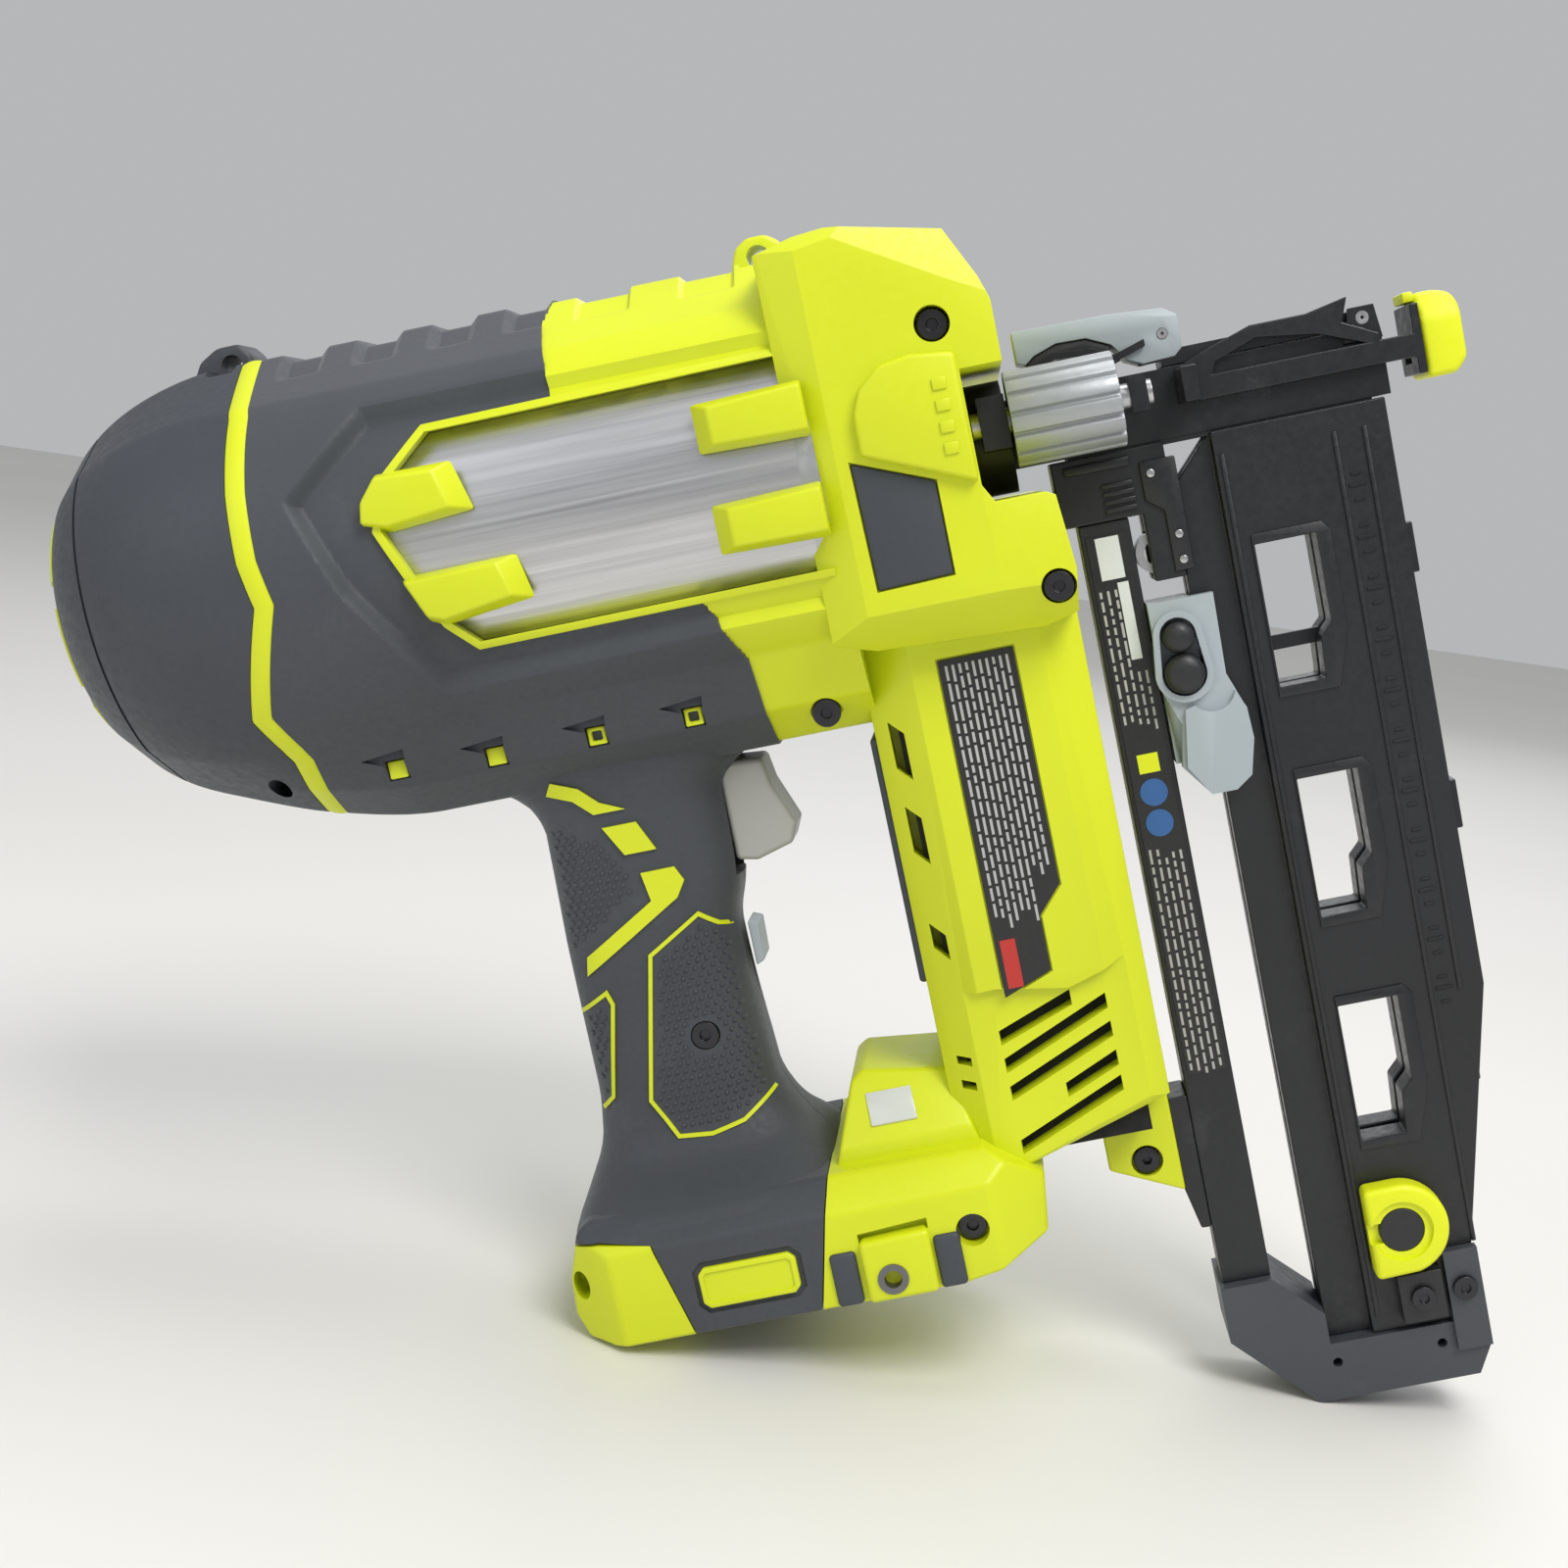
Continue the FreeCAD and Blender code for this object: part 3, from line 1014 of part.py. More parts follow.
def pusher():
    """The carriage that drives the nails up to the nose, and its release button."""
    block = box("pusher_block", (D.rail_front + 0.4, D.track_rear - 0.4), (-5.5, 5.5), (D.pusher_low + 8, D.pusher_top))
    tongue = box("pusher_tongue", (D.track_rear - 0.4, D.sight_front - 2), (-0.9, 0.9), (-62, -50))
    face = plate("pusher_face", [
        (D.rail_front, D.pusher_top), (264, D.pusher_top), (263.5, -64), (267.5, -72), (266, -88),
        (261, D.pusher_low), (255, D.pusher_low), (248.3, -84), (250.5, -74), (D.rail_front, -66),
    ], (-D.pusher_out, -D.rail_half - 0.5), corners=1, rim=0.8)
    way = rod("pusher_way", "y", 5.2, (-D.pusher_out - 1, -D.pusher_out + 6.2), (253.8, -62))
    way_top = rod("pusher_way_top", "y", 4.2, (-D.pusher_out - 1, -D.pusher_out + 6.2), (253.8, -53))
    neck = box("pusher_neck", (D.rail_front + 0.4, D.track_rear - 0.4), (-D.rail_half - 0.5, -5.5), (-78, -48))
    node("pusher", cut("pusher_whole", joined("pusher_solid", block, face, neck, tongue), way, way_top))
    low = rod("button_low", "y", 4.8, (-D.button_out, -D.pusher_out + 3.2), (253.8, -62))
    top = rod("button_top", "y", 3.8, (-D.button_out, -D.pusher_out + 3.2), (253.8, -53))
    node("pusher_button", joined("button", low, top))
    node("pusher_spring", tube("spring_roll", "y", 5, 3, (-4, 4), (253.3, -33.5)))


# ---------------------------------------------------------------- nose


def nose():
    flange = rod("nose_flange", "x", D.flange_radius, (D.head_step, D.flange_front), (0, 0))
    block = box("nose_bar", (D.flange_front - 1, D.nose_front), (-D.nose_half, D.nose_half),
                (-D.nose_high, D.nose_high))
    lug = box("nose_lug", (218, D.flange_front), (D.screw_y - 6, 0), (D.screw_z - 6, D.screw_z + 6))
    ears = both("nose_ears", lambda label: plate(label, [
        (D.hinge_x - 5, 5), (D.hinge_x - 3, 12.8), (D.hinge_x + 3, 12.8), (D.nose_front, 5),
    ], (-D.nose_half - 1.6, -D.nose_half)))
    catch = box("nose_catch", (233.4, 236), (-5, 5), (D.nose_high, 12))
    side = D.blade_half + D.blade_gap
    high = D.blade_high + D.blade_gap
    node("nose_block", cut(
        "nose", joined("nose_solid", flange, block, lug, ears, catch),
        box("nose_channel", (200, 320), (-side, side), (-high, high)),
        box("nose_feed", (D.rail_front, 320), (-D.nail_half, D.nail_half), (-20, 0)),
        rod("nose_pin_hole", "y", D.hinge_pin, (-12, 12), (D.hinge_x, D.hinge_z)),
        rod("nose_screw_hole", "x", D.screw_radius, (210, 230), (D.screw_y, D.screw_z))))
    node("door_pin", tube("door_pin_body", "y", D.hinge_pin, 0.4, (-D.nose_half - 1.6, D.nose_half + 1.6),
                          (D.hinge_x, D.hinge_z)))
    side = (-D.nose_half + D.slack, D.nose_half - D.slack)
    leaf = box("door_leaf", (D.door_rear, D.hinge_x), side, (D.nose_high + D.slack, 12))
    knuckle = rod("door_knuckle", "y", 1.8, side, (D.hinge_x, D.hinge_z))
    mast = box("door_mast", (D.latch_x - 2.2, D.latch_x + 2.2), (-2.5, 2.5), (11, D.latch_z + 2.2))
    node("nose_door", cut("door", joined("door_solid", leaf, knuckle, mast),
                          rod("door_bore", "y", D.hinge_pin + D.pin_slack, (-12, 12), (D.hinge_x, D.hinge_z)),
                          rod("door_latch_bore", "y", 1.2, (-12, 12), (D.latch_x, D.latch_z))))
    node("latch_pin", tube("latch_pin_body", "y", 1.2, 0.4, (-7, 7), (D.latch_x, D.latch_z)))
    lever = plate("latch_lever", [
        (230, 21.5), (D.latch_x, D.latch_z + D.latch_round), (D.latch_x, D.latch_z - D.latch_round),
        (257, D.latch_z - D.latch_round), (254, 13.8), (244, 17), (231, 15.8),
    ], (-6.8, 6.8))
    lever_end = rod("latch_end", "y", D.latch_round, (-6.8, 6.8), (D.latch_x, D.latch_z))
    node("jam_latch", cut("latch", joined("latch_solid", lever, lever_end),
                          box("latch_slot", (D.latch_x - 6, D.latch_x + 5), (-2.9, 2.9), (5, 25)),
                          rod("latch_bore", "y", 1.2 + D.pin_slack, (-12, 12), (D.latch_x, D.latch_z))))
    bail_side = both("bail_sides", lambda label: plate(label, [
        (230.6, 9), (232.6, 9), (234, 13), (238, 14.8), (246, 14.2), (252, 11.6), (259, 13.8), (259, 15.4),
        (251.6, 13.2), (246.4, 15.8), (237.6, 16.4), (232, 14.4),
    ], (-8.4, -6.9)))
    bail_cross = box("bail_cross", (230.8, 232.8), (-8.4, 8.4), (9, 11))
    node("latch_bail", joined("bail", bail_side, bail_cross))


def depth_drive():
    """Depth wheel on its screw, and the stop that it moves."""
    centre = (D.screw_y, D.screw_z)
    node("depth_screw", cut("depth_rod", rod("depth_rod_solid", "x", D.screw_radius, (216, 257.6), centre),
                            rod("depth_rod_slot", "x", 1.0, (256.5, 259), centre)))
    wheel = tube("wheel_solid", "x", D.wheel_radius, D.wheel_bore, (D.wheel_rear, D.wheel_front), centre)
    flutes = []
    for index in range(int(D.wheel_ribs.number)):
        angle = 2 * math.pi * index / D.wheel_ribs.number
        flutes.append(rod(f"wheel_flute_{index}", "x", 1.3, (D.wheel_rear - 1, D.wheel_front - 1.5), (
            D.screw_y + (D.wheel_radius + 0.4) * math.cos(angle),
            D.screw_z + (D.wheel_radius + 0.4) * math.sin(angle))))
    node("depth_wheel", cut("wheel", wheel, *flutes))
    stop = box("stop_block", (252.3, 256.3), (D.screw_y - 4, D.screw_y + 4), (D.screw_z - 4, D.screw_z + 4))
    node("depth_stop", cut("stop", stop, rod("stop_bore", "x", D.wheel_bore, (250, 258), centre)))


def contact_arm():
    """The wire arm that must be pressed on the work, and its soft pad."""
    bar = box("arm_bar", (264.2, D.arm_face + 2), (-10.4, -D.nose_half - 1), (-1, 4.4))
    foot = box("arm_foot", (264.2, 268), (D.screw_y - 4, -D.nose_half - 1), (-1, 7))
    front = box("arm_plate", (D.arm_face, D.arm_face + 2), (-10.4, D.nose_half + 0.5), (-5, 11))
    bow = plate("arm_bow", [
        (264.2, 3), (264.2, 7), (272, 10), (283, 13.5), (296, 13.5), (306, 15.5), (304, 10), (312, 6), (312, 3),
        (298, 8.5), (284, 10.5), (274, 7), (272, 3),
    ], (-10.4, -8.9))
    node("contact_arm", cut("arm", joined("arm_solid", bar, foot, front, bow),
                            box("arm_way", (315, 325), (-3.2, 3.2), (-2.2, 2.6))))
    rear = D.arm_face + 2
    pad = plate("pad_solid", [
        (-9, -6.5), (9, -6.5), (9, 7), (5.5, 13.5), (-5.5, 13.5), (-9, 7),
    ], (rear, D.pad_front), plane="YZ", corners=2.5)
    lip = plate("pad_lip", [(-9, 11.4), (9, 11.4), (5.5, 14), (-5.5, 14)], (D.pad_rear, rear + 1), plane="YZ")
    doc.recompute()
    soft = named("Part::Fillet", "pad_soft")
    soft.Base = pad
    front_edges = [index for index, edge in enumerate(pad.Shape.Edges, start=1)
                   if edge.BoundBox.XMin > D.pad_front.number - 0.1]
    soft.Edges = [(index, 3.0, 3.0) for index in front_edges]
    node("no_mar_tip", cut("pad", joined("pad_whole", soft, lip),
                           box("pad_way", (315, 340), (-3.2, 3.2), (-2.2, 2.6))))


# ---------------------------------------------------------------- assembly and output


def stand():
    """Tilts every piece onto its two feet and puts the origin under the middle of the tool."""
    slope = math.atan2(D.foot_low.number - D.cap_low.number, D.cap_corner.number - D.foot_heel.number)
    turn = FreeCAD.Rotation(V(0, 1, 0), -math.degrees(slope))
    tilt = FreeCAD.Placement(V(), turn)
    whole = FreeCAD.BoundBox()
    for piece in NODES.values():
        turned = piece.Shape.copy()
        turned.Placement = tilt.multiply(turned.Placement)
        whole.add(turned.optimalBoundingBox(False))
    shift = V(-(whole.XMin + whole.XMax) / 2, -(whole.YMin + whole.YMax) / 2, -whole.ZMin)
    place = FreeCAD.Placement(shift, turn)
    for piece in NODES.values():
        piece.Placement = place.multiply(piece.Placement)
    doc.recompute()
    print("stand angle", round(math.degrees(slope), 6), "shift", [round(c, 6) for c in shift],
          "box", [round(v, 2) for v in (whole.XLength, whole.YLength, whole.ZLength)])


def check_pieces():
    """Stops if any object failed or any piece is not a whole, valid solid."""
    faults = [f"{thing.Label}: {thing.State}" for thing in doc.Objects
              if "Invalid" in thing.State or "Error" in thing.State]
    for name, piece in NODES.items():
        if piece.Shape.isNull() or not piece.Shape.isValid() or piece.Shape.Volume <= 0:
            faults.append(f"{name} has no valid solid")
    if faults:
        raise SystemExit("\n".join(faults))


def write_pieces():
    check_pieces()
    os.makedirs("parts", exist_ok=True)
    for name, piece in NODES.items():
        piece.Shape.exportStep(f"parts/{name}.step")
    print(len(NODES), "pieces")


shells()
rear_cap()
air_spring()
driver()
crank()
motor_and_gearbox()
trigger_parts()
foot_parts()
screws()
labels()
magazine()
pusher()
nose()
depth_drive()
contact_arm()
doc.recompute()
check_pieces()
stand()
write_pieces()
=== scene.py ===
"""Looks of the cordless finish nailer: detailed shells, grips, labels and materials round the CAD frame.

Shapes are written in the tool's own design frame, in millimetres: +X along the drive axis to the nose,
+Z up from the drive axis, -Y the right-hand side. place() turns a finished mesh into the row frame.
"""

import json
import math

import bmesh
import bpy
import numpy as np
from mathutils import Matrix, Vector


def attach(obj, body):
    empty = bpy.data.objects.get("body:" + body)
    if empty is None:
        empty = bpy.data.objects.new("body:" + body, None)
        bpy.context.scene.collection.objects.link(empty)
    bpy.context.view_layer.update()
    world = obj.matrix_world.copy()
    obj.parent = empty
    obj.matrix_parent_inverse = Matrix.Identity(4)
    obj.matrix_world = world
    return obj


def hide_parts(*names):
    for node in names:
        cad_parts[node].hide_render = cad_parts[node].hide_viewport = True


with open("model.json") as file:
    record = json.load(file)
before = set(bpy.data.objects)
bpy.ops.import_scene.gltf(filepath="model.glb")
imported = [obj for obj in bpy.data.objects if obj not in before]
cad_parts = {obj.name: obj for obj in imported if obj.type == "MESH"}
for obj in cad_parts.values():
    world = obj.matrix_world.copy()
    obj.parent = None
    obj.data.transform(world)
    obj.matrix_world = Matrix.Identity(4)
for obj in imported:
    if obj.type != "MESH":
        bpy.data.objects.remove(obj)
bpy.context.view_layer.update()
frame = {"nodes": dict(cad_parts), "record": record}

# ---------------------------------------------------------------- frames and sizes

PAD_FRONT = 331.5       # X of the soft pad's front face
PAD_HEIGHT = 7.0        # Z of its middle
BARREL = 52.0           # outside radius
HEAD_HALF = 46.0        # half widths across the tool
STRUT_HALF = 29.0
FOOT_HALF = 38.0
THROUGH = 60.0          # farther across the tool than any of its surfaces
SIDES = (-1, 1)         # right and left, as the sign of Y
SEAM = (-0.14, 0.14)    # the fine groove between two half shells, across the tool
SEAM_DEPTH = 0.5


def design_frame():
    """The matrix from the design frame in millimetres to the row frame in metres."""
    mounts = {mount["name"]: mount for mount in frame["record"]["mounts"]}
    face = mounts["nose_pad_face"]
    x = Vector(face["axis"]).normalized()
    y = Vector((0, 1, 0))
    z = x.cross(y)
    origin = Vector(face["pos_m"]) - x * PAD_FRONT / 1000 - z * PAD_HEIGHT / 1000
    turn = Matrix((x, y, z)).transposed().to_4x4()
    return Matrix.Translation(origin) @ turn @ Matrix.Scale(0.001, 4)


TO_ROW = design_frame()
DRIVE_TILT = math.atan2(TO_ROW[2][0], TO_ROW[0][0])
BRUSH_STRETCH = 60.0

# ---------------------------------------------------------------- materials


def wire(tree, source, target):
    tree.links.new(source, target)


def noise(tree, vector, scale, detail=2.0, rough=0.5):
    texture = tree.nodes.new("ShaderNodeTexNoise")
    texture.inputs["Scale"].default_value = scale
    texture.inputs["Detail"].default_value = detail
    texture.inputs["Roughness"].default_value = rough
    wire(tree, vector, texture.inputs["Vector"])
    return texture.outputs["Fac"]


def ramp(tree, value, low, high, start=0.3, end=0.7):
    """A value or a colour that runs from low to high while the input goes from start to end."""
    node = tree.nodes.new("ShaderNodeMapRange")
    node.inputs["From Min"].default_value = start
    node.inputs["From Max"].default_value = end
    node.inputs["To Min"].default_value = low
    node.inputs["To Max"].default_value = high
    wire(tree, value, node.inputs["Value"])
    return node.outputs["Result"]


def tint(tree, factor, dark, light):
    node = tree.nodes.new("ShaderNodeMix")
    node.data_type = "RGBA"
    node.inputs["A"].default_value = (*dark, 1)
    node.inputs["B"].default_value = (*light, 1)
    wire(tree, factor, node.inputs["Factor"])
    return node.outputs["Result"]


def bump(tree, height, distance):
    node = tree.nodes.new("ShaderNodeBump")
    node.inputs["Strength"].default_value = 1.0
    node.inputs["Distance"].default_value = distance
    wire(tree, height, node.inputs["Height"])
    return node.outputs["Normal"]


def material(name, colour, rough, grain=1500.0, depth=0.00003, shade=0.12, metal=0.0, spread=0.08,
             sheen=0.0, brushed=False, scuff=0.0):
    """A surface with fine grain, uneven gloss and slow colour drift; brushed stretches the grain along X."""
    made = bpy.data.materials.new(name)
    made.use_nodes = True
    tree = made.node_tree
    shader = tree.nodes["Principled BSDF"]
    shader.inputs["Metallic"].default_value = metal
    shader.inputs["Sheen Weight"].default_value = sheen
    place_node = tree.nodes.new("ShaderNodeTexCoord")
    vector = place_node.outputs["Object"]
    if brushed:
        mapping = tree.nodes.new("ShaderNodeMapping")
        mapping.vector_type = "TEXTURE"
        mapping.inputs["Rotation"].default_value = (0, -DRIVE_TILT, 0)
        mapping.inputs["Scale"].default_value = (BRUSH_STRETCH, 1, 1)
        wire(tree, vector, mapping.inputs["Vector"])
        vector = mapping.outputs["Vector"]
    drift = noise(tree, vector, 420.0, 4.0, 0.7) if brushed else noise(tree, vector, 14.0, 3.0)
    fine = noise(tree, vector, grain, 3.0, 0.6)
    speck = noise(tree, vector, grain * 0.35, 2.0)
    dark = tuple(channel * (1 - shade) for channel in colour)
    light = tuple(min(1.0, channel * (1 + shade)) for channel in colour)
    colour_out = tint(tree, ramp(tree, drift, 0, 1), dark, light)
    if scuff:
        worn = noise(tree, place_node.outputs["Object"], 55.0, 6.0, 0.7)
        mask = ramp(tree, worn, 0, scuff, 0.60, 0.74)
        mix = tree.nodes.new("ShaderNodeMix")
        mix.data_type = "RGBA"
        mix.inputs["B"].default_value = (*(min(1.0, c * 1.6 + 0.03) for c in colour), 1)
        wire(tree, mask, mix.inputs["Factor"])
        wire(tree, colour_out, mix.inputs["A"])
        colour_out = mix.outputs["Result"]
    wire(tree, colour_out, shader.inputs["Base Color"])
    gloss = ramp(tree, speck, max(0.04, rough - spread), min(1, rough + spread))
    wire(tree, gloss, shader.inputs["Roughness"])
    wire(tree, bump(tree, fine, depth), shader.inputs["Normal"])
    return made


def glass(name):
    made = material(name, (0.86, 0.88, 0.90), 0.12, grain=600.0, depth=0.00002, shade=0.03)
    made.node_tree.nodes["Principled BSDF"].inputs["Transmission Weight"].default_value = 0.35
    return made


M = {
    "lime": material("lime_plastic", (0.64, 0.71, 0.008), 0.42, shade=0.05, spread=0.07),
    "rubber": material("soft_touch", (0.044, 0.050, 0.060), 0.62, 1900, 0.00004, 0.15, sheen=0.15,
                       scuff=0.25),
    "cap": material("cap_plastic", (0.040, 0.046, 0.056), 0.50, 1500, 0.00004, 0.15, scuff=0.3),
    "dark": material("dark_plastic", (0.045, 0.052, 0.064), 0.55, 1300, 0.00005, 0.15),
    # painted shade: a near-black surface for the block behind the vent slits, standing in for the shade
    # inside the housing
    "painted_vent_shade": material("painted_shadow_black", (0.006, 0.006, 0.007), 0.8, 900, 0.00002),
    "alu": material("brushed_aluminium", (0.55, 0.55, 0.56), 0.36, 2200, 0.000004, 0.20, 1.0, brushed=True),
    "cast": material("cast_aluminium", (0.50, 0.51, 0.52), 0.45, 900, 0.00006, 0.10, 1.0),
    "steel": material("ground_steel", (0.50, 0.50, 0.51), 0.30, 2200, 0.00002, 0.08, 1.0),
    "black_steel": material("black_oxide", (0.030, 0.031, 0.034), 0.36, 1400, 0.00004, 0.2, 0.6, scuff=0.5),
    "screw": material("black_zinc", (0.05, 0.05, 0.055), 0.32, 1700, 0.00003, 0.2, 0.9),
    "seal": material("seal_rubber", (0.02, 0.02, 0.022), 0.6, 1200, 0.00003),
    "magazine": material("magazine_black", (0.011, 0.012, 0.015), 0.38, 1700, 0.00003, 0.2, scuff=0.35),
    "cap_grey": material("cap_grey", (0.050, 0.056, 0.066), 0.42, 1400, 0.00004, 0.12, scuff=0.25),
    "light": material("light_grey", (0.36, 0.41, 0.44), 0.42, shade=0.06),
    "trigger": material("trigger_grey", (0.40, 0.40, 0.37), 0.38, shade=0.06),
    "button": material("button_black", (0.016, 0.017, 0.019), 0.45),
    "silver": material("wheel_silver", (0.36, 0.38, 0.40), 0.38, 1600, 0.00003, 0.05, 0.35),
    "pad": material("pad_yellow", (0.74, 0.80, 0.006), 0.46, shade=0.05),
    "label": material("label_film", (0.014, 0.014, 0.015), 0.30, 900, 0.00001, 0.1),
    "print": material("label_print", (0.42, 0.42, 0.42), 0.4, 900, 0.00001, 0.1),
    "pale": material("label_pale", (0.66, 0.68, 0.70), 0.4, 900, 0.00001, 0.1),
    "red": material("label_red", (0.50, 0.03, 0.02), 0.4, 900, 0.00001, 0.1),
    "blue": material("label_blue", (0.03, 0.12, 0.36), 0.4, 900, 0.00001, 0.1),
    "board": material("board_green", (0.02, 0.10, 0.04), 0.4, 900, 0.00002),
    "brass": material("brass", (0.62, 0.44, 0.18), 0.3, 1500, 0.00002, 0.08, 1.0),
    "iron": material("motor_iron", (0.18, 0.18, 0.19), 0.45, 1300, 0.00004, 0.1, 0.9),
    "lens": glass("clear_lens"),
}

# ---------------------------------------------------------------- mesh tools


def linked(name, data):
    """A new object with that mesh, lamp or camera, in the scene."""
    thing = bpy.data.objects.new(name, data)
    bpy.context.scene.collection.objects.link(thing)
    return thing


def mesh_object(name, verts, faces):
    mesh = bpy.data.meshes.new(name)
    mesh.from_pydata([tuple(v) for v in verts], [], faces)
    mesh.update()
    return linked(name, mesh)


def made_from(name, work):
    """The object that an edited mesh turns into."""
    mesh = bpy.data.meshes.new(name)
    work.to_mesh(mesh)
    work.free()
    return linked(name, mesh)


def outward(thing, weld=None):
    """Makes every face of a closed mesh look outwards, after joining corners closer than weld."""
    work = bmesh.new()
    work.from_mesh(thing.data)
    if weld:
        bmesh.ops.remove_doubles(work, verts=work.verts, dist=weld)
    bmesh.ops.recalc_face_normals(work, faces=work.faces)
    work.to_mesh(thing.data)
    work.free()
    return thing


def bake(thing):
    """Turns the modifiers into mesh."""
    graph = bpy.context.evaluated_depsgraph_get()
    mesh = bpy.data.meshes.new_from_object(thing.evaluated_get(graph))
    thing.modifiers.clear()
    thing.data = mesh
    return thing


def ring_faces(rings, turns, base=0):
    """The quads between successive closed rings of corners; base is the first corner's number."""
    faces = []
    for low in range(base, base + (rings - 1) * turns, turns):
        high = low + turns
        for j in range(turns):
            k = (j + 1) % turns
            faces.append((low + j, low + k, high + k, high + j))
    return faces


def tube(name, rings):
    """A solid through rings that have the same number of corners, closed at both ends."""
    turns = len(rings[0])
    verts = [corner for ring in rings for corner in ring]
    faces = [tuple(range(turns)), tuple(range(len(verts) - 1, len(verts) - turns - 1, -1))]
    return outward(mesh_object(name, verts, faces + ring_faces(len(rings), turns)))


def circle(centre, radius, sides=48):
    angles = [2 * math.pi * i / sides for i in range(sides)]
    return [(centre[0] + radius * math.cos(t), centre[1] + radius * math.sin(t)) for t in angles]


def prism(name, points, low, high, taper=None):
    """A side-view outline (X, Z) drawn out across the tool from low to high; taper is its shape at high."""
    return tube(name, [[(x, low, z) for x, z in points], [(x, high, z) for x, z in taper or points]])


def lengthwise(name, points, low, high):
    """A section (Y, Z) drawn out along the drive axis."""
    return tube(name, [[(x, y, z) for y, z in points] for x in (low, high)])


def block(name, x, y, z):
    return prism(name, [(x[0], z[0]), (x[1], z[0]), (x[1], z[1]), (x[0], z[1])], *y)


def drum(name, centre, radius, low, high, sides=48):
    """A cylinder across the tool."""
    return prism(name, circle(centre, radius, sides), low, high)


def across(side, near, far):
    """The stretch between two distances from the middle plane on one side of the tool, lowest first."""
    return sorted((side * near, side * far))


def boolean(thing, other, operation="DIFFERENCE", solver="EXACT"):
    step = thing.modifiers.new("boolean", "BOOLEAN")
    step.operation = operation
    step.object = other
    step.solver = solver
    bake(thing)
    bpy.data.objects.remove(other)
    return thing


def carved(thing, *tools, solver="EXACT"):
    """Cuts the tools out of the object, one after the other."""
    for tool in tools:
        boolean(thing, tool, solver=solver)
    return thing


def twin(thing, name):
    return linked(name, thing.data.copy())


def flipped(thing):
    """The mirror image on the tool's left side."""
    other = twin(thing, thing.name + "_left")
    other.data.transform(Matrix.Scale(-1, 4, Vector((0, 1, 0))))
    other.data.flip_normals()
    return other


def merged(name, *things):
    """Several meshes as one object, without cutting them."""
    work = bmesh.new()
    for thing in things:
        work.from_mesh(thing.data)
        bpy.data.objects.remove(thing)
    return made_from(name, work)


def pair(name, right):
    """A right-hand piece and its mirror image as one object."""
    return merged(name, right, flipped(right))


def bevelled(thing, width, segments=2, angle=28.0):
    step = thing.modifiers.new("bevel", "BEVEL")
    step.width = width
    step.segments = segments
    step.limit_method = "ANGLE"
    step.angle_limit = math.radians(angle)
    step.miter_outer = "MITER_ARC"
    return bake(thing)


def sliced(thing, *planes):
    """Cuts away everything in front of each plane, given as three points with the solid behind."""
    work = bmesh.new()
    work.from_mesh(thing.data)
    middle = sum((vertex.co for vertex in work.verts), Vector((0, 0, 0))) / len(work.verts)
    for plane in planes:
        a, b, c = (Vector(point) for point in plane)
        normal = (b - a).cross(c - a).normalized()
        if (middle - a).dot(normal) > 0:
            normal.negate()
        cut = bmesh.ops.bisect_plane(work, geom=work.verts[:] + work.edges[:] + work.faces[:],
                                     plane_co=a, plane_no=normal, clear_outer=True)
        edges = [item for item in cut["geom_cut"] if isinstance(item, bmesh.types.BMEdge)]
        bmesh.ops.edgenet_fill(work, edges=edges)
    work.to_mesh(thing.data)
    work.free()
    return outward(thing)


def chamfered(thing, *planes):
    """Slices the right side by each plane, and the left side by its mirror image."""
    mirrored = [tuple((x, -y, z) for x, y, z in plane) for plane in planes]
    return sliced(thing, *planes, *mirrored)


def parted(thing, outline):
    """Cuts the fine groove round the middle plane, where two half shells meet."""
    strip = prism("groove", grow(outline, 3.0), *SEAM)
    boolean(strip, prism("groove_core", grow(outline, -SEAM_DEPTH), -1, 1))
    return boolean(thing, strip)


def place(thing, body, finish, slot, *replaced, smooth=32.0):
    """Puts a finished piece in the row frame, on its body, with its material."""
    thing.data.transform(TO_ROW)
    thing.data.materials.clear()
    thing.data.materials.append(M[finish])
    thing.data.shade_smooth()
    thing.data.set_sharp_from_angle(angle=math.radians(smooth))
    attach(thing, body)
    if replaced:
        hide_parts(*replaced)
    return thing


# ---------------------------------------------------------------- surfaces

FACET_PLANES = [
    # direction of a flat's normal round the barrel in degrees (90 is up), its distance from the axis
    (60.5, 50.6), (90.0, 50.4), (119.5, 50.6),
    (-60.5, 50.6), (-90.0, 50.6), (-119.5, 50.6),
]


KEEL_PLANES = [
    # the keel under the barrel: direction of each flat's normal and its distance from the axis
    (-32.3, 50.6), (-147.7, 50.6), (-55.0, 57.6), (-125.0, 57.6), (-90.0, 59.3),
]
KEEL_RISE = (26.0, 78.0)    # X over which the keel grows out of the barrel


def flats(angle, planes, limit):
    """Radius of a section bounded by flats, and by a circle of radius limit."""
    radius = np.full_like(angle, limit)
    for direction, distance in planes:
        lean = np.cos(angle - math.radians(direction))
        radius = np.minimum(radius, np.where(lean > 0.3, distance / np.maximum(lean, 0.3), limit))
    return radius


def barrel_section(angle, x=None):
    """Radius of the barrel: round at the sides, with flats above and a keel that grows below."""
    plain = flats(angle, FACET_PLANES, BARREL)
    if x is None:
        return plain
    below = np.sin(angle) < -0.70
    keel = np.maximum(plain, np.where(below, flats(angle, KEEL_PLANES, 70.0), 0))
    return plain + (keel - plain) * smoothstep(x, *KEEL_RISE)


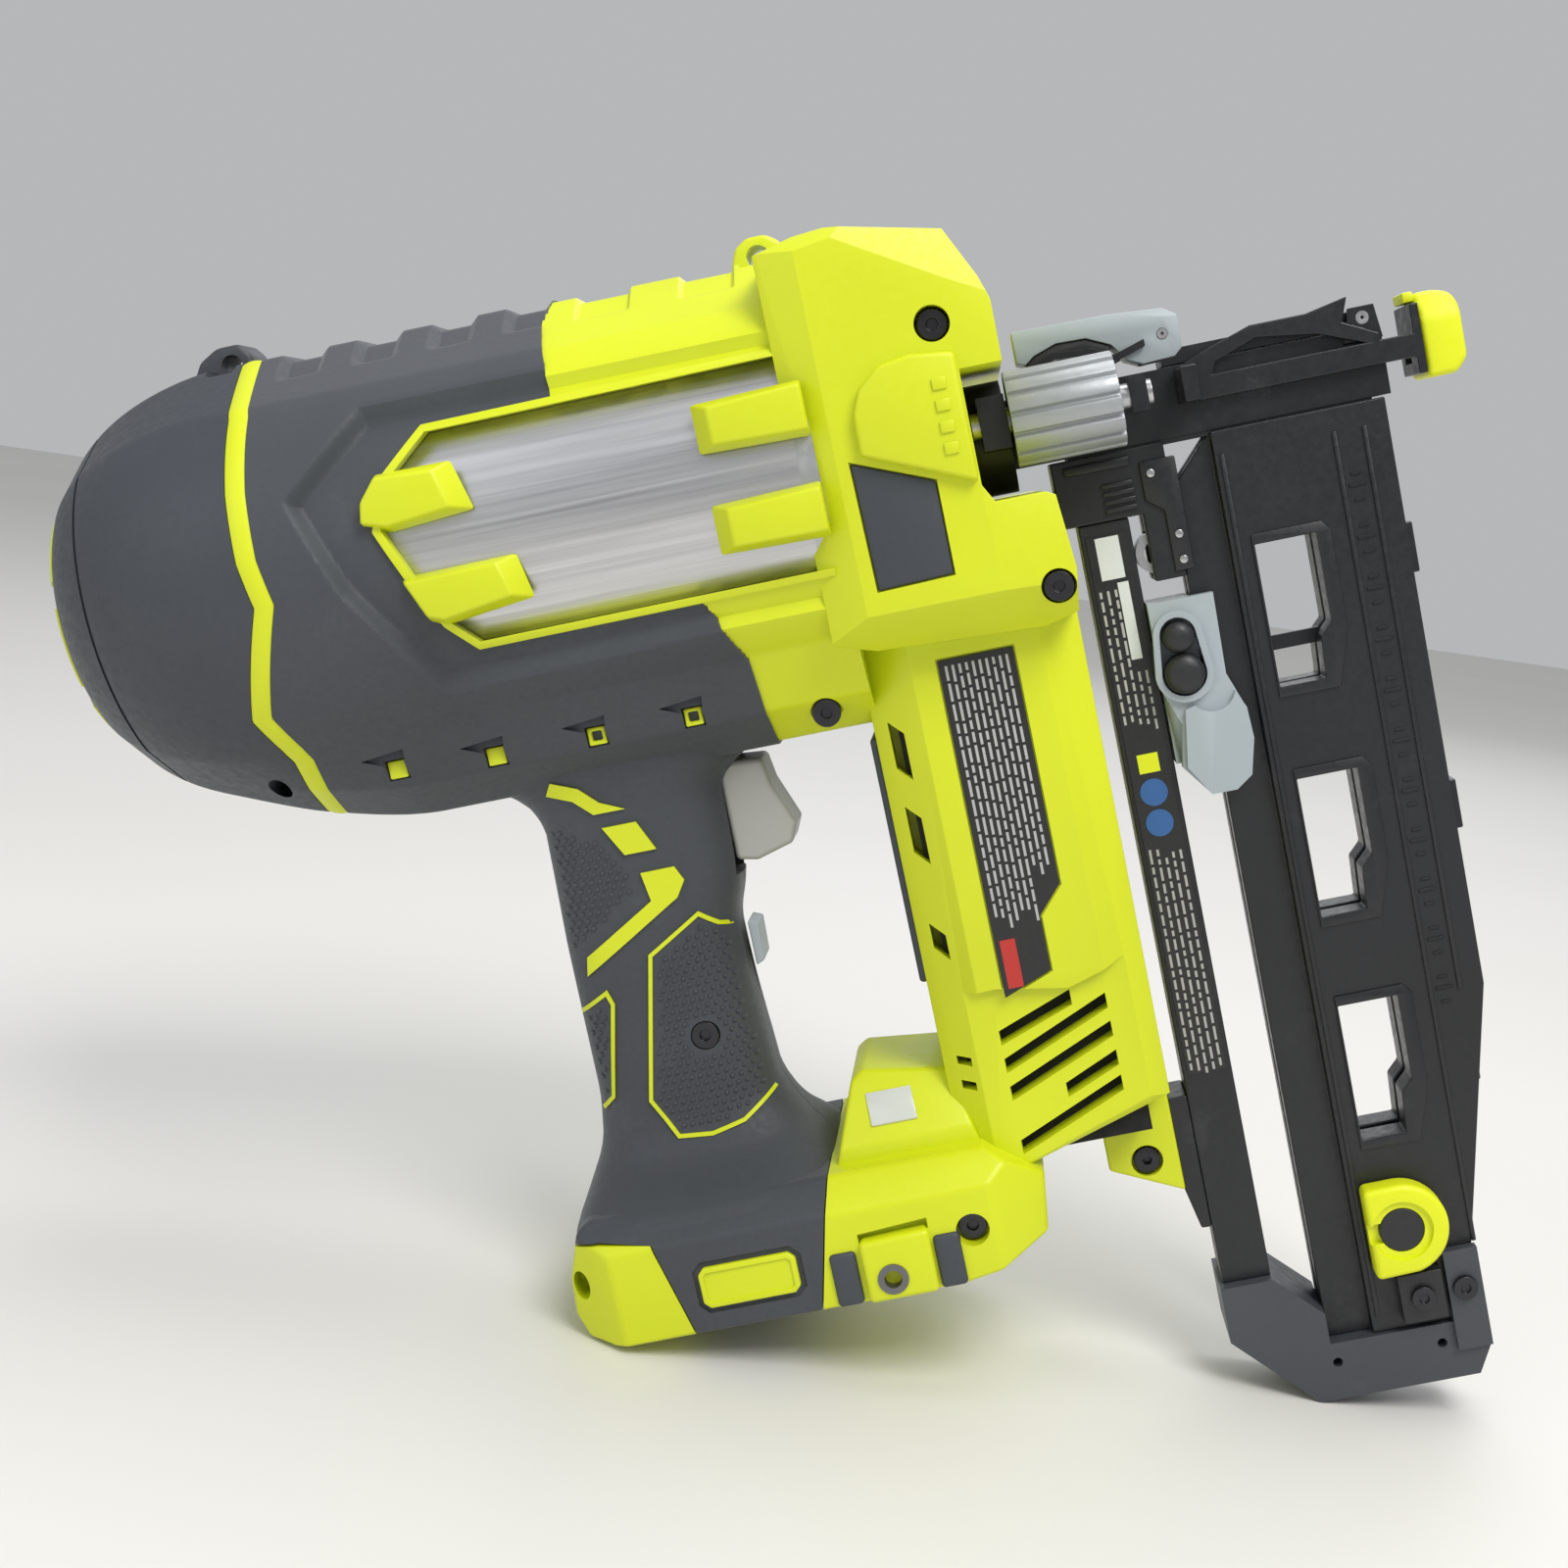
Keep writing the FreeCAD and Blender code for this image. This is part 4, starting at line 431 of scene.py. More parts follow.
def signed_distance(points, x, z):
    """Distance to a side-view outline, negative inside it."""
    px = np.array([p[0] for p in points], float)
    pz = np.array([p[1] for p in points], float)
    nearest = np.full(np.shape(x), 1e9)
    inside = np.zeros(np.shape(x), bool)
    for i in range(len(points)):
        j = (i + 1) % len(points)
        dx, dz = px[j] - px[i], pz[j] - pz[i]
        along = np.clip(((x - px[i]) * dx + (z - pz[i]) * dz) / (dx * dx + dz * dz), 0, 1)
        nearest = np.minimum(nearest, np.hypot(x - px[i] - along * dx, z - pz[i] - along * dz))
        crosses = (pz[i] > z) != (pz[j] > z)
        slope = np.where(abs(dz) < 1e-9, 1e-9, dz)
        inside ^= crosses & (x < dx * (z - pz[i]) / slope + px[i])
    return np.where(inside, -nearest, nearest)


def smoothstep(value, low, high):
    t = np.clip((value - low) / (high - low), 0, 1)
    return t * t * (3 - 2 * t)


def shell(name, rear, front, outer, inner, steps, turns=400):
    """A closed ring round the drive axis between two edges; outer and inner are radii at (x, angle)."""
    angles = np.arange(turns) * 2 * math.pi / turns
    share = np.linspace(0, 1, steps + 1)[:, None]
    x = rear(angles)[None, :] * (1 - share) + front(angles)[None, :] * share
    angle = np.broadcast_to(angles[None, :], x.shape)
    layers = []
    for radius in (outer(x, angle), inner(x, angle)):
        layers.append(np.stack([x, radius * np.cos(angle), radius * np.sin(angle)], -1).reshape(-1, 3))
    count, last = (steps + 1) * turns, steps * turns
    faces = ring_faces(steps + 1, turns)
    faces += [face[::-1] for face in ring_faces(steps + 1, turns, count)]
    for j in range(turns):
        k = (j + 1) % turns
        faces.append((count + j, count + k, k, j))
        faces.append((last + j, last + k, count + last + k, count + last + j))
    return outward(mesh_object(name, np.concatenate(layers), faces))


def always(value):
    """An edge or a radius that is the same all round."""
    return lambda *places: np.full_like(places[0], value)


def along_height(pairs):
    """An edge round the barrel whose X depends on the height: pairs of (height, X), lowest first."""
    heights = [pair[0] for pair in pairs]
    places = [pair[1] for pair in pairs]
    return lambda angles: np.interp(BARREL * np.sin(angles), heights, places)


# ---------------------------------------------------------------- barrel

STRIPE = [(-53, 52.0), (-40, 54.0), (-29, 50.5), (-5, 60.0), (5, 58.5), (20, 58.5), (36, 59.5), (53, 57.5)]
STRIPE_HALF = 2.3
EAR_HOLE = 51.3         # height of the holes in the strap ears
EAR_FLOOR = 48.5        # height of the grooves beside them
MOULD_FRONT = [(-53, 158.0), (-38, 157.5), (-23.5, 151.0), (-20, 150.0), (22, 128.0), (34, 128.0),
               (46, 126.5), (53, 129.0)]
RECESS = [(190, 33.7), (86.5, 33.7), (68, 16.0), (76, -6.0), (91, -32.0), (190, -29.0)]
WINDOW = [(190, 26.0), (100, 25.0), (91, 16.5), (87.5, 6.0), (92, -5.0), (97, -16.0), (102, -21.5),
          (190, -21.0)]
WINDOW_RIM = 1.7        # width of the frame round the window
RECESS_DEPTH = 3.6
UNDER_MOULD = 46.8      # radius of the hard shell where the overmould covers it
HUMPS = (66, 17.5, 1.9)         # grip humps along the overmould's top: first X, pitch and depth
GROOVES = (134, 24.0, 1.5)      # grooves along the hard shell's top
LEDGE = [(120, 32), (190, 32), (190, -30), (120, -30)]
LEDGE_DEPTH = 2.6
LIME_INSET = 0.7        # how far the hard shell lies below the barrel's outline


def stripe_edge(side):
    middle = along_height(STRIPE)
    return lambda angles: middle(angles) + side * STRIPE_HALF


def mould_radius(x, angle):
    """Outside of the overmould: flats, the recess round the window and the humps along the top."""
    z = BARREL * np.sin(angle)
    radius = barrel_section(angle, x)
    recess = signed_distance(RECESS, x, z)
    radius = radius - RECESS_DEPTH * (1 - smoothstep(recess, -3.2, 0.0))
    top = smoothstep(np.sin(angle), 0.86, 0.90)
    start, pitch, depth = HUMPS
    wave = np.clip(0.5 + 1.3 * np.sin((x - start) * 2 * math.pi / pitch), 0, 1)
    return radius - depth * top * wave * smoothstep(x, start - 4, start)


def lime_radius(x, angle):
    """Outside of the hard shell before the overmould, stepped beside the window and along the top."""
    z = BARREL * np.sin(angle)
    radius = barrel_section(angle, x) - LIME_INSET
    radius = radius - LEDGE_DEPTH * (1 - smoothstep(signed_distance(LEDGE, x, z), -1.4, 0.0))
    start, pitch, depth = GROOVES
    wave = np.clip(0.5 + 2.0 * np.sin((x - start) * 2 * math.pi / pitch), 0, 1)
    top = smoothstep(np.sin(angle), 0.87, 0.90) * smoothstep(wave, 0.2, 0.8)
    covered = x < along_height(MOULD_FRONT)(angle) - 0.4
    return np.where(covered, np.minimum(radius, UNDER_MOULD), radius - depth * top)


def window_rim():
    """The thin frame round the side window, standing on the recess floor."""
    rim = prism("window_rim_right", grow(WINDOW, WINDOW_RIM), -THROUGH, -30)
    boolean(rim, prism("window_hole", WINDOW, -70, -20))
    ring = shell("rim_ring", always(80.0), always(181.0), always(BARREL - 2.6), always(45.7), 2, 240)
    return bevelled(boolean(rim, ring, "INTERSECT"), 0.35, 2, 40)


def grow(points, margin):
    """A closed outline moved outwards by margin."""
    count = len(points)
    area = sum(points[i][0] * points[(i + 1) % count][1] - points[(i + 1) % count][0] * points[i][1]
               for i in range(count))
    sign = 1.0 if area > 0 else -1.0
    result = []
    for i in range(count):
        before = Vector(points[i - 1])
        here = Vector(points[i])
        after = Vector(points[(i + 1) % count])
        first = (here - before).normalized()
        second = (after - here).normalized()
        normal_a = Vector((first.y, -first.x)) * sign
        normal_b = Vector((second.y, -second.x)) * sign
        middle = (normal_a + normal_b).normalized()
        reach = margin / max(0.35, middle.dot(normal_a))
        result.append(tuple(here + middle * reach))
    return result


def ribbon(points, width):
    """The outline of a strip of that width along an open line."""
    left, right = [], []
    for i, point in enumerate(points):
        here = Vector(point)
        before = Vector(points[max(0, i - 1)])
        after = Vector(points[min(len(points) - 1, i + 1)])
        first = (here - before) if i else (after - here)
        second = (after - here) if i < len(points) - 1 else first
        first, second = first.normalized(), second.normalized()
        normal = Vector((-first.y, first.x)) + Vector((-second.y, second.x))
        normal.normalize()
        reach = width / 2 / max(0.5, normal.dot(Vector((-first.y, first.x))))
        left.append(tuple(here + normal * reach))
        right.append(tuple(here - normal * reach))
    return left + right[::-1]


LUGS = [
    # base outline, then the same corners on the outer face
    ([(83, 7.5), (83.5, 12), (88, 18), (105, 18), (108, 6.5), (89, 5)],
     [(84, 8), (85, 12.5), (89, 17), (101.5, 16.2), (103.5, 8), (89.5, 6.5)]),
    ([(88.5, -4.5), (114.5, -4.2), (116.5, -14.5), (96, -16.8), (92.5, -15)],
     [(90, -5.8), (110.5, -5.6), (112.5, -13), (97, -15.2), (93.5, -14)]),
    ([(157.5, 19), (182, 19.8), (182, 7.4), (157.5, 8)],
     [(161.5, 17.5), (182, 18.6), (182, 9), (161.5, 9.6)]),
    ([(157.5, -2.8), (182, -2.0), (182, -14.4), (157.5, -13.8)],
     [(161.5, -4.2), (182, -3.4), (182, -12.8), (161.5, -12.4)]),
]


def window_lugs():
    lugs = [bevelled(prism(f"lug_{i}", outer, -50.6, -45.2, base), 0.7, 3, 20)
            for i, (base, outer) in enumerate(LUGS)]
    return merged("window_lugs_right", *lugs)


POCKETS = [(73, -46.5), (95.5, -48.0), (119, -48.0), (141.5, -48.0)]
KEEL_SLOPE = math.radians(32.3)
EAR_SIDE = 5.9          # half the thickness of a strap ear, with its clearance
BORE = 46.0             # inside radius of the hard shell
MOULD_BORE = 47.5       # inside radius of the overmould
NECK_SCREW = (171.0, -53.5)


def keel_side(z):
    """How far the keel's upper flat stands from the middle plane at a height."""
    return (50.6 + z * math.sin(KEEL_SLOPE)) / math.cos(KEEL_SLOPE)


def pocket_tools():
    """The square pockets along the keel, each with a scooped way in above it."""
    tools = []
    for x, z in POCKETS:
        hole = [(x - 2.5, z - 2.5), (x + 2.5, z - 2.5), (x + 2.5, z + 2.4), (x - 2.5, z + 2.4)]
        scoop = [(x - 7.0, z + 3.4), (x - 1.8, z + 1.0), (x + 2.8, z + 2.0), (x + 3.4, z + 4.6)]
        for side in SIDES:
            tools.append(prism("pocket", hole, side * (keel_side(z) - 2.6), side * THROUGH))
            tools.append(prism("scoop", scoop, side * (keel_side(z + 3) - 1.7), side * THROUGH))
    return tools


def pocket_plugs():
    """The coloured plugs in the pockets; the two nearer the nose have an eye."""
    plugs = []
    for i, (x, z) in enumerate(POCKETS):
        depth = keel_side(z)
        for side in SIDES:
            plug = block(f"pocket_bit_{i}", (x - 2.1, x + 2.1), across(side, depth - 5.0, depth - 1.3),
                         (z - 2.1, z + 2.0))
            if i > 1:
                boolean(plug, block("pocket_eye", (x - 1.2, x + 1.2), across(side, depth - 4.2, THROUGH),
                                    (z - 1.1, z + 1.1)))
            plugs.append(bevelled(plug, 0.35, 2))
    return merged("barrel_pocket_plugs", *plugs)


def barrel():
    mould = shell("overmould_barrel", stripe_edge(1), along_height(MOULD_FRONT), mould_radius,
                  always(MOULD_BORE), 150)
    under = [(60, -49.6), (78, -58.7), (158, -58.7), (158, -70), (60, -70)]
    carved(mould, prism("mould_window", grow(WINDOW, WINDOW_RIM * 0.6), -70, 70), *pocket_tools(),
           block("seam_over", (62, 129), SEAM, (48.2, 60)), prism("seam_under", under, *SEAM),
           solver="MANIFOLD")
    place(mould, "frame", "rubber", "mould_dark", "overmould_right", "overmould_left", smooth=24)
    place(pocket_plugs(), "frame", "lime", "shell_lime")

    lime = shell("barrel_shell", always(104.0), always(182.0), lime_radius, always(BORE), 156)
    tools = [prism("lime_window", WINDOW, -70, 70), block("lime_seam_over", (126, 167), SEAM, (47.6, 60)),
             block("lime_seam_under", (157, 181), SEAM, (-70, -58.0))]
    for side in SIDES:
        beside_ear = across(side, EAR_SIDE, THROUGH)
        tools.append(block("lime_ear_groove", (171.5, 190), beside_ear, (EAR_FLOOR, 62)))
        tools.append(drum("neck_well", NECK_SCREW, 3.7, side * 22, side * THROUGH))
    carved(lime, *tools, solver="MANIFOLD")
    place(lime, "frame", "lime", "shell_lime", smooth=24)
    place(pair("window_rims", window_rim()), "frame", "lime", "shell_lime")
    place(pair("window_lugs", window_lugs()), "frame", "lime", "shell_lime")


CAP_EAR = [(36, 42), (43, 53.5), (47.5, 56), (53, 56), (55.5, 53), (55.5, 42)]
DOME_REAR = 2.2         # X of the dome's rearmost point
DOME_FRONT = 50.0       # X where its curve ends
DOME_BEND = 1.7         # exponents of the curve along the drive axis and across it
DOME_ROUND = 3.5


def dome_radius(x, angle):
    """A dome that is nearly flat behind, with the barrel's flats running out into it."""
    reach = np.clip((DOME_FRONT - x) / (DOME_FRONT - DOME_REAR), 0, 1)
    share = np.power(np.clip(1 - np.power(reach, DOME_BEND), 0, 1), 1 / DOME_ROUND)
    return np.maximum(barrel_section(angle, x) * share, 0.01)


def dome_x(radius):
    """Where along the drive axis the dome has that radius."""
    share = radius / BARREL
    return DOME_FRONT - (DOME_FRONT - DOME_REAR) * (1 - share ** DOME_ROUND) ** (1 / DOME_BEND)


def dome(turns=256, rows=70):
    """The closed mesh of the dome, with its rim and its inner floor."""
    angles = np.arange(turns) * 2 * math.pi / turns
    edge = stripe_edge(-1)(angles)
    rings = [(np.full(turns, DOME_REAR), 0.01)]
    for i in range(1, rows + 1):
        x = DOME_REAR + (edge - DOME_REAR) * (1 - math.cos(i / rows * math.pi / 2))
        rings.append((x, dome_radius(x, angles)))
    rings += [(edge, BORE), (np.full(turns, 16.0), 24.0), (np.full(turns, 16.0), 0.001)]
    corners = [np.stack([x, radius * np.cos(angles), radius * np.sin(angles)], -1).tolist()
               for x, radius in rings]
    return outward(tube("rear_dome", corners), weld=0.02)


def rear_cap():
    cap = dome()
    ear = bevelled(prism("cap_ear", CAP_EAR, -6, 6), 1.2, 3)
    boolean(ear, drum("ear_hole", (50.5, EAR_HOLE), 2.5, -9, 9))
    grooves = [bevelled(block("ear_groove", (47, 54), across(side, EAR_SIDE, 30), (EAR_FLOOR, 62)), 1.0, 3)
               for side in SIDES]
    seam = shell("cap_seam", always(17.6), always(18.4), always(THROUGH),
                 lambda x, angle: dome_radius(x, angle) - 0.45, 1, 256)
    carved(cap, *grooves, seam, solver="MANIFOLD")
    carved(cap, *(drum("low_hole", (44, -46), 2.6, *across(side, 5, 40)) for side in SIDES))
    place(cap, "frame", "cap", "cap_dark", "rear_cap", smooth=20)
    place(ear, "frame", "cap", "cap_dark")
    stripe = shell("barrel_stripe", stripe_edge(-0.95), stripe_edge(0.95), stripe_radius, always(BORE), 6)
    place(stripe, "frame", "lime", "band_lime", "cap_band")
    arcs = [rear_arc(f"rear_arc_{i}", *span) for i, span in enumerate(REAR_ARCS)]
    place(merged("rear_arcs", *arcs), "frame", "lime", "band_lime")


def stripe_radius(x, angle):
    """A crowned band that stands a little proud of the barrel."""
    off_middle = x - along_height(STRIPE)(angle[0])
    return barrel_section(angle, x) + 0.25 - 0.8 * off_middle ** 2 / 9


# the ribs on the back of the dome: first and last angle round the drive axis, in degrees
REAR_ARCS = [(100, 160), (172, 208), (220, 262), (278, 330), (350, 440)]


def rear_arc(name, start, end):
    """A coloured rib on the back of the dome, between two angles round the drive axis."""
    steps = max(4, int((end - start) / 3))
    rings = []
    for t in np.radians(np.linspace(start, end, steps + 1)):
        rings.append([(dome_x(radius) - lift, radius * math.cos(t), radius * math.sin(t))
                      for radius, lift in ((27.0, 0.45), (30.0, 0.45), (30.0, -1.5), (27.0, -1.5))])
    return tube(name, rings)


# ---------------------------------------------------------------- head and strut

HEAD = [(177, 47.0), (186, 49.5), (193, 50.0), (218, 45.5), (223.5, 33.5), (225.2, 28.0), (225.2, -12.0),
        (231.0, -15.0), (232.5, -31.0), (231.5, -41.0), (224, -43.0), (186, -41.0), (177, -38.0)]
HEAD_PLANES = [
    ((193, -HEAD_HALF, 48.0), (223, -HEAD_HALF, 30.5), (218, -36, 45.5)),
    ((186, -HEAD_HALF, 0), (186, -HEAD_HALF, 10), (177.2, -42.0, 0)),
    ((180, -HEAD_HALF, -33), (220, -HEAD_HALF, -33), (200, -37.5, -42)),
    ((186, -HEAD_HALF, 46), (193, -HEAD_HALF, 47), (188, -39, 51)),
    ((216, -HEAD_HALF, -14), (232, -45.2, -14), (216, -HEAD_HALF, -30)),
]
NOTCH = [(215.8, 15.0), (240, 15.0), (240, -14.0), (218, -14.0), (215.8, -10.0)]
BOSS = [(191.5, 1.0), (191.8, 10), (194, 15), (199, 19), (206, 20.0), (215.4, 18.8), (215.4, -9),
        (207, -5.5)]
HEAD_INSERT = [(188.9, 0), (206.3, -7), (206.3, -27.4), (189.4, -27.9)]
STRUT = [(180.5, -38), (231.5, -38), (231.5, -157), (188, -169.5), (180.5, -160)]
VENT_LOWS = [(-137.6, 195, 213, 0.36), (-144.4, 195, 221, 0.42), (-151.2, 195, 221, 0.42),
             (-152.8, 208, 221, 0.42), (-164.4, 195, 221, 0.42)]
TAB_SCREW = (223.5, -178.0)
REAR_VENTS = [(-72.5, -58.5), (-92.5, -78.5), (-115.5, -106.5), (-141.5, -138.8), (-147.5, -144.8)]

WAIST_REAR = [(176, -132), (196, -131), (213, -134), (240, -126), (240, -180), (176, -180)]
WAIST_SIDE = [(176, -124), (196, -123), (213, -126), (240, -118), (240, -180), (176, -180)]
STRUT_PLANES = [
    ((192, -STRUT_HALF, 0), (192, -STRUT_HALF, -50), (180.5, -20.5, 0)),
    ((222, -STRUT_HALF, 0), (222, -STRUT_HALF, -50), (231.5, -24.5, 0)),
    ((192, -STRUT_HALF, -165), (231, -STRUT_HALF, -152), (210, -24, -165)),
]
TOP_EAR = [(167.5, 46), (170.5, 54), (173.5, 56), (178, 56), (181, 54), (184.5, 46)]
STRUT_TAB = [(214, -155), (231.2, -152), (231.4, -187.3), (214, -179)]
RATING = [(198.2, -46.5), (215.6, -46.5), (215.6, -102), (209.8, -108.5), (209.8, -121.5), (198.2, -126)]
HEAD_SCREWS = [((212, 25.5), 34), ((228, -34.5), 26)]     # middle, and how deep the well's floor stands
WELL = 3.9                                                # radius of the housing's screw wells


def head_body():
    body = prism("head_shell", HEAD, -HEAD_HALF, HEAD_HALF)
    chamfered(body, *HEAD_PLANES)
    boolean(body, prism("head_notch", NOTCH, -THROUGH, THROUGH))
    return parted(bevelled(body, 1.4, 3, 16), HEAD)


def strut():
    post = prism("strut", STRUT, -STRUT_HALF, STRUT_HALF)
    chamfered(post, *STRUT_PLANES)
    waist = prism("waist", WAIST_REAR, -THROUGH, -STRUT_HALF + 2.4, WAIST_SIDE)
    carved(post, flipped(waist), waist)
    return parted(bevelled(post, 1.3, 3, 16), STRUT)


def housing_tools(side):
    """What is cut out of one side of the head and strut: seats, screw wells, label recess and vents."""
    out = side * THROUGH
    tools = [prism("insert_seat", grow(HEAD_INSERT, 0.25), out, side * (HEAD_HALF - 1.6)),
             block("head_ear_groove", (160, 179.5), across(side, EAR_SIDE, THROUGH), (EAR_FLOOR, 62))]
    tools += [drum("screw_well", middle, WELL, side * floor, out) for middle, floor in HEAD_SCREWS]
    tools.append(prism("label_seat", grow(RATING, 0.4), side * (STRUT_HALF - 0.7), side * 40))
    for low, rear, front, slope in VENT_LOWS:
        rise = (front - rear) * slope
        slit = [(rear, low), (front, low + rise), (front, low + rise + 3.7), (rear, low + 3.5)]
        tools.append(prism("vent", slit, out, side * 18))
    for low, high in REAR_VENTS:
        lean = 3.0 if high - low > 5 else 0.6
        slit = [(184, low + lean), (187.4, low), (187.4, high - lean), (184, high)]
        tools.append(prism("rear_vent", slit, out, side * 15))
    return tools


def head():
    body = boolean(head_body(), strut(), "UNION")
    boss = bevelled(prism("boss", BOSS, -48.9, -43), 1.1, 3, 30)
    other = flipped(boss)
    boolean(body, boss, "UNION")
    boolean(body, other, "UNION")
    carved(body, *housing_tools(-1), *housing_tools(1))
    ear = bevelled(prism("top_ear", TOP_EAR, -5.8, 5.8), 1.0, 3)
    boolean(ear, drum("top_ear_hole", (175.5, EAR_HOLE), 2.7, -9, 9))
    tab = bevelled(prism("strut_tab", STRUT_TAB, -8, 8), 0.8, 3)
    boolean(tab, drum("tab_hole", TAB_SCREW, WELL, -12, -5))
    tab_screw = bevelled(drum("tab_screw_head", TAB_SCREW, 3.3, -7.6, -4.6, 32), 0.5, 2)
    boolean(tab_screw, drum("tab_screw_socket", TAB_SCREW, 1.3, -9, -6.2, 6))
    place(tab_screw, "frame", "screw", "screw_steel")
    place(body, "frame", "lime", "shell_lime", "housing_right", "housing_left", smooth=30)
    place(ear, "frame", "lime", "shell_lime")
    place(tab, "frame", "lime", "shell_lime")
    # painted shadow: a near-black block behind the vent slits stands in for the shade inside the housing,
    # where no real part sits
    place(block("vent_painted_shadow", (186, 226), (-21, 21), (-166, -50)), "frame", "painted_vent_shade", "button_black")
    marks = [bevelled(block(f"depth_mark_{i}", (209.5, 212.6), (-49.5, -48.4), (low, low + 2.6)), 0.3, 2)
             for i, low in enumerate(11.5 - 4.6 * np.arange(4))]
    place(merged("depth_marks", *marks), "frame", "lime", "shell_lime")
    panel = bevelled(prism("insert", HEAD_INSERT, -HEAD_HALF + 0.35, -HEAD_HALF + 1.9), 0.6, 3)
    place(pair("head_side_panels", panel), "frame", "dark", "insert_dark", "head_inserts")


def rating_label():
    """A dark film with rows of plain short bars instead of words."""
    film = bevelled(prism("rating_film", RATING, -STRUT_HALF - 0.15, -STRUT_HALF + 0.8), 0.15, 1)
    place(film, "frame", "label", "label_black", "label_plates")
    printed = (-STRUT_HALF - 0.22, -STRUT_HALF)
    bars = []
    pattern = np.random.default_rng(7)
    for x in 199.6 + 1.55 * np.arange(10):
        z = -48.0
        lowest = -100.5 if x > 209 else -110.0
        while z > lowest:
            length = float(pattern.uniform(1.6, 4.4))
            if z - length < lowest:
                break
            bars.append(block("bar", (x, x + 0.62), printed, (z - length, z)))
            z -= length + 0.7
    place(merged("rating_bars", *bars), "frame", "print", "label_black")
    rear = bevelled(block("rear_film", (178.9, 181.5), (-19.5, 19.5), (-121, -62)), 0.9, 3)
    place(rear, "frame", "cap", "label_black")
    place(block("rating_patch", (199.4, 203.0), printed, (-124, -112.5)), "frame", "red", "label_black")


RAIL_FACE = -7.4        # Y of the nail rail's right side


def on_rail(name, x, z, proud, sunk):
    """A thin plate on the side of the nail rail."""
    return block(name, x, (RAIL_FACE - proud, RAIL_FACE + sunk), z)


def rail_label():
    """A strip on the nail rail with plain blocks, discs and bars."""
    blanks = [on_rail("rail_white", (239.2, 244.8), (-37.5, -27.5), 0.1, 0.3),
              on_rail("rail_white_low", (242.6, 245.2), (-57, -38.5), 0.1, 0.3)]
    place(merged("rail_code_blanks", *blanks), "frame", "pale", "label_black")
    bars = []
    pattern = np.random.default_rng(11)
    for x in (238.0, 239.8, 241.6, 243.4, 245.2):
        z = -60.0 if x > 242 else -40.0
        while z > -158:
            length = float(pattern.uniform(1.2, 3.6))
            if not -101 < z < -72:
                bars.append(on_rail("rail_bar_mark", (x, x + 0.6), (z - length, z), 0.08, 0.3))
            z -= length + 0.8
    place(merged("rail_label_bars", *bars), "frame", "print", "label_black")
    place(on_rail("rail_film", (237.2, 246.8), (-159, -27), 0, 0.4), "frame", "label", "label_black")
    place(on_rail("rail_square", (239.4, 244.4), (-84.2, -79.6), 0.12, 0.2), "frame", "pad", "label_black")
    discs = [drum("rail_disc", (241.9, z), 3.3, RAIL_FACE - 0.15, RAIL_FACE + 0.2, 40)
             for z in (-89, -96.5)]
    place(merged("rail_discs", *discs), "frame", "blue", "label_black")


# ---------------------------------------------------------------- handle and foot

# outlines of the handle as pairs of height and X, its half widths, and how square it is at a height
GRIP_REAR = [(-172, 84.0), (-163, 86.0), (-157, 89.0), (-148, 93.5), (-136, 95.5), (-97, 95.8), (-80, 96.5),
             (-68, 97.0), (-61, 93.0), (-56, 84.0), (-50, 72.0), (-40, 64.0)]
GRIP_FRONT = [(-172, 150.0), (-163, 150.5), (-157, 149.5), (-149, 143.5), (-140, 139.5), (-112, 138.0),
              (-99, 138.0), (-93, 140.5), (-86, 142.0), (-64, 142.5), (-60, 150.0), (-56, 154.5),
              (-40, 155.0)]
GRIP_HALVES = [(-172, 36.6), (-163, 36.0), (-158, 30.0), (-153, 22.0), (-148, 18.5), (-142, 17.3),
               (-120, 17.0), (-95, 16.6), (-80, 17.0), (-66, 18.0), (-58, 20.0), (-50, 22.0), (-40, 22.0)]
# 2 is an ellipse
GRIP_POWER = [(-172, 7.0), (-160, 4.5), (-148, 2.9), (-60, 2.9), (-40, 3.2)]
GRIP_SCREW = (126.0, -124.0)
GRIP_FLOOR = -163.5
GRIP_HEIGHTS = [(-172, -140, 40), (-139, -66, 50), (-65, -40, 36)]              # first, last, count
BATTERY_WAY = ((101, 136), (-12.5, 12.5))
SCREW_WELL = 3.5


def table(pairs, z):
    return np.interp(z, [p[0] for p in pairs], [p[1] for p in pairs])


def grip_sizes(z):
    rear, front = table(GRIP_REAR, z), table(GRIP_FRONT, z)
    return (rear + front) / 2, (front - rear) / 2, table(GRIP_HALVES, z), table(GRIP_POWER, z)


def grip_side(x, z):
    """How far the right side of the handle stands from the middle plane, as Y."""
    middle, long_half, half, power = grip_sizes(z)
    share = np.clip(np.abs((x - middle) / long_half), 0, 0.999)
    return -half * np.power(1 - np.power(share, power), 1 / power)


def grip_ring(z, turns=160):
    """The handle's section at a height, averaged over 5 mm so that the outline's corners are soft."""
    sizes = grip_sizes(np.array([z - 2.5, z, z + 2.5]))
    middle, long_half, half, power = (float(np.mean(size)) for size in sizes)
    ring = []
    for j in range(turns):
        c, s = math.cos(2 * math.pi * j / turns), math.sin(2 * math.pi * j / turns)
        u = math.copysign(abs(c) ** (2 / power), c)
        w = math.copysign(abs(s) ** (2 / power), s)
        ring.append((middle + long_half * u, half * w, float(z)))
    return ring


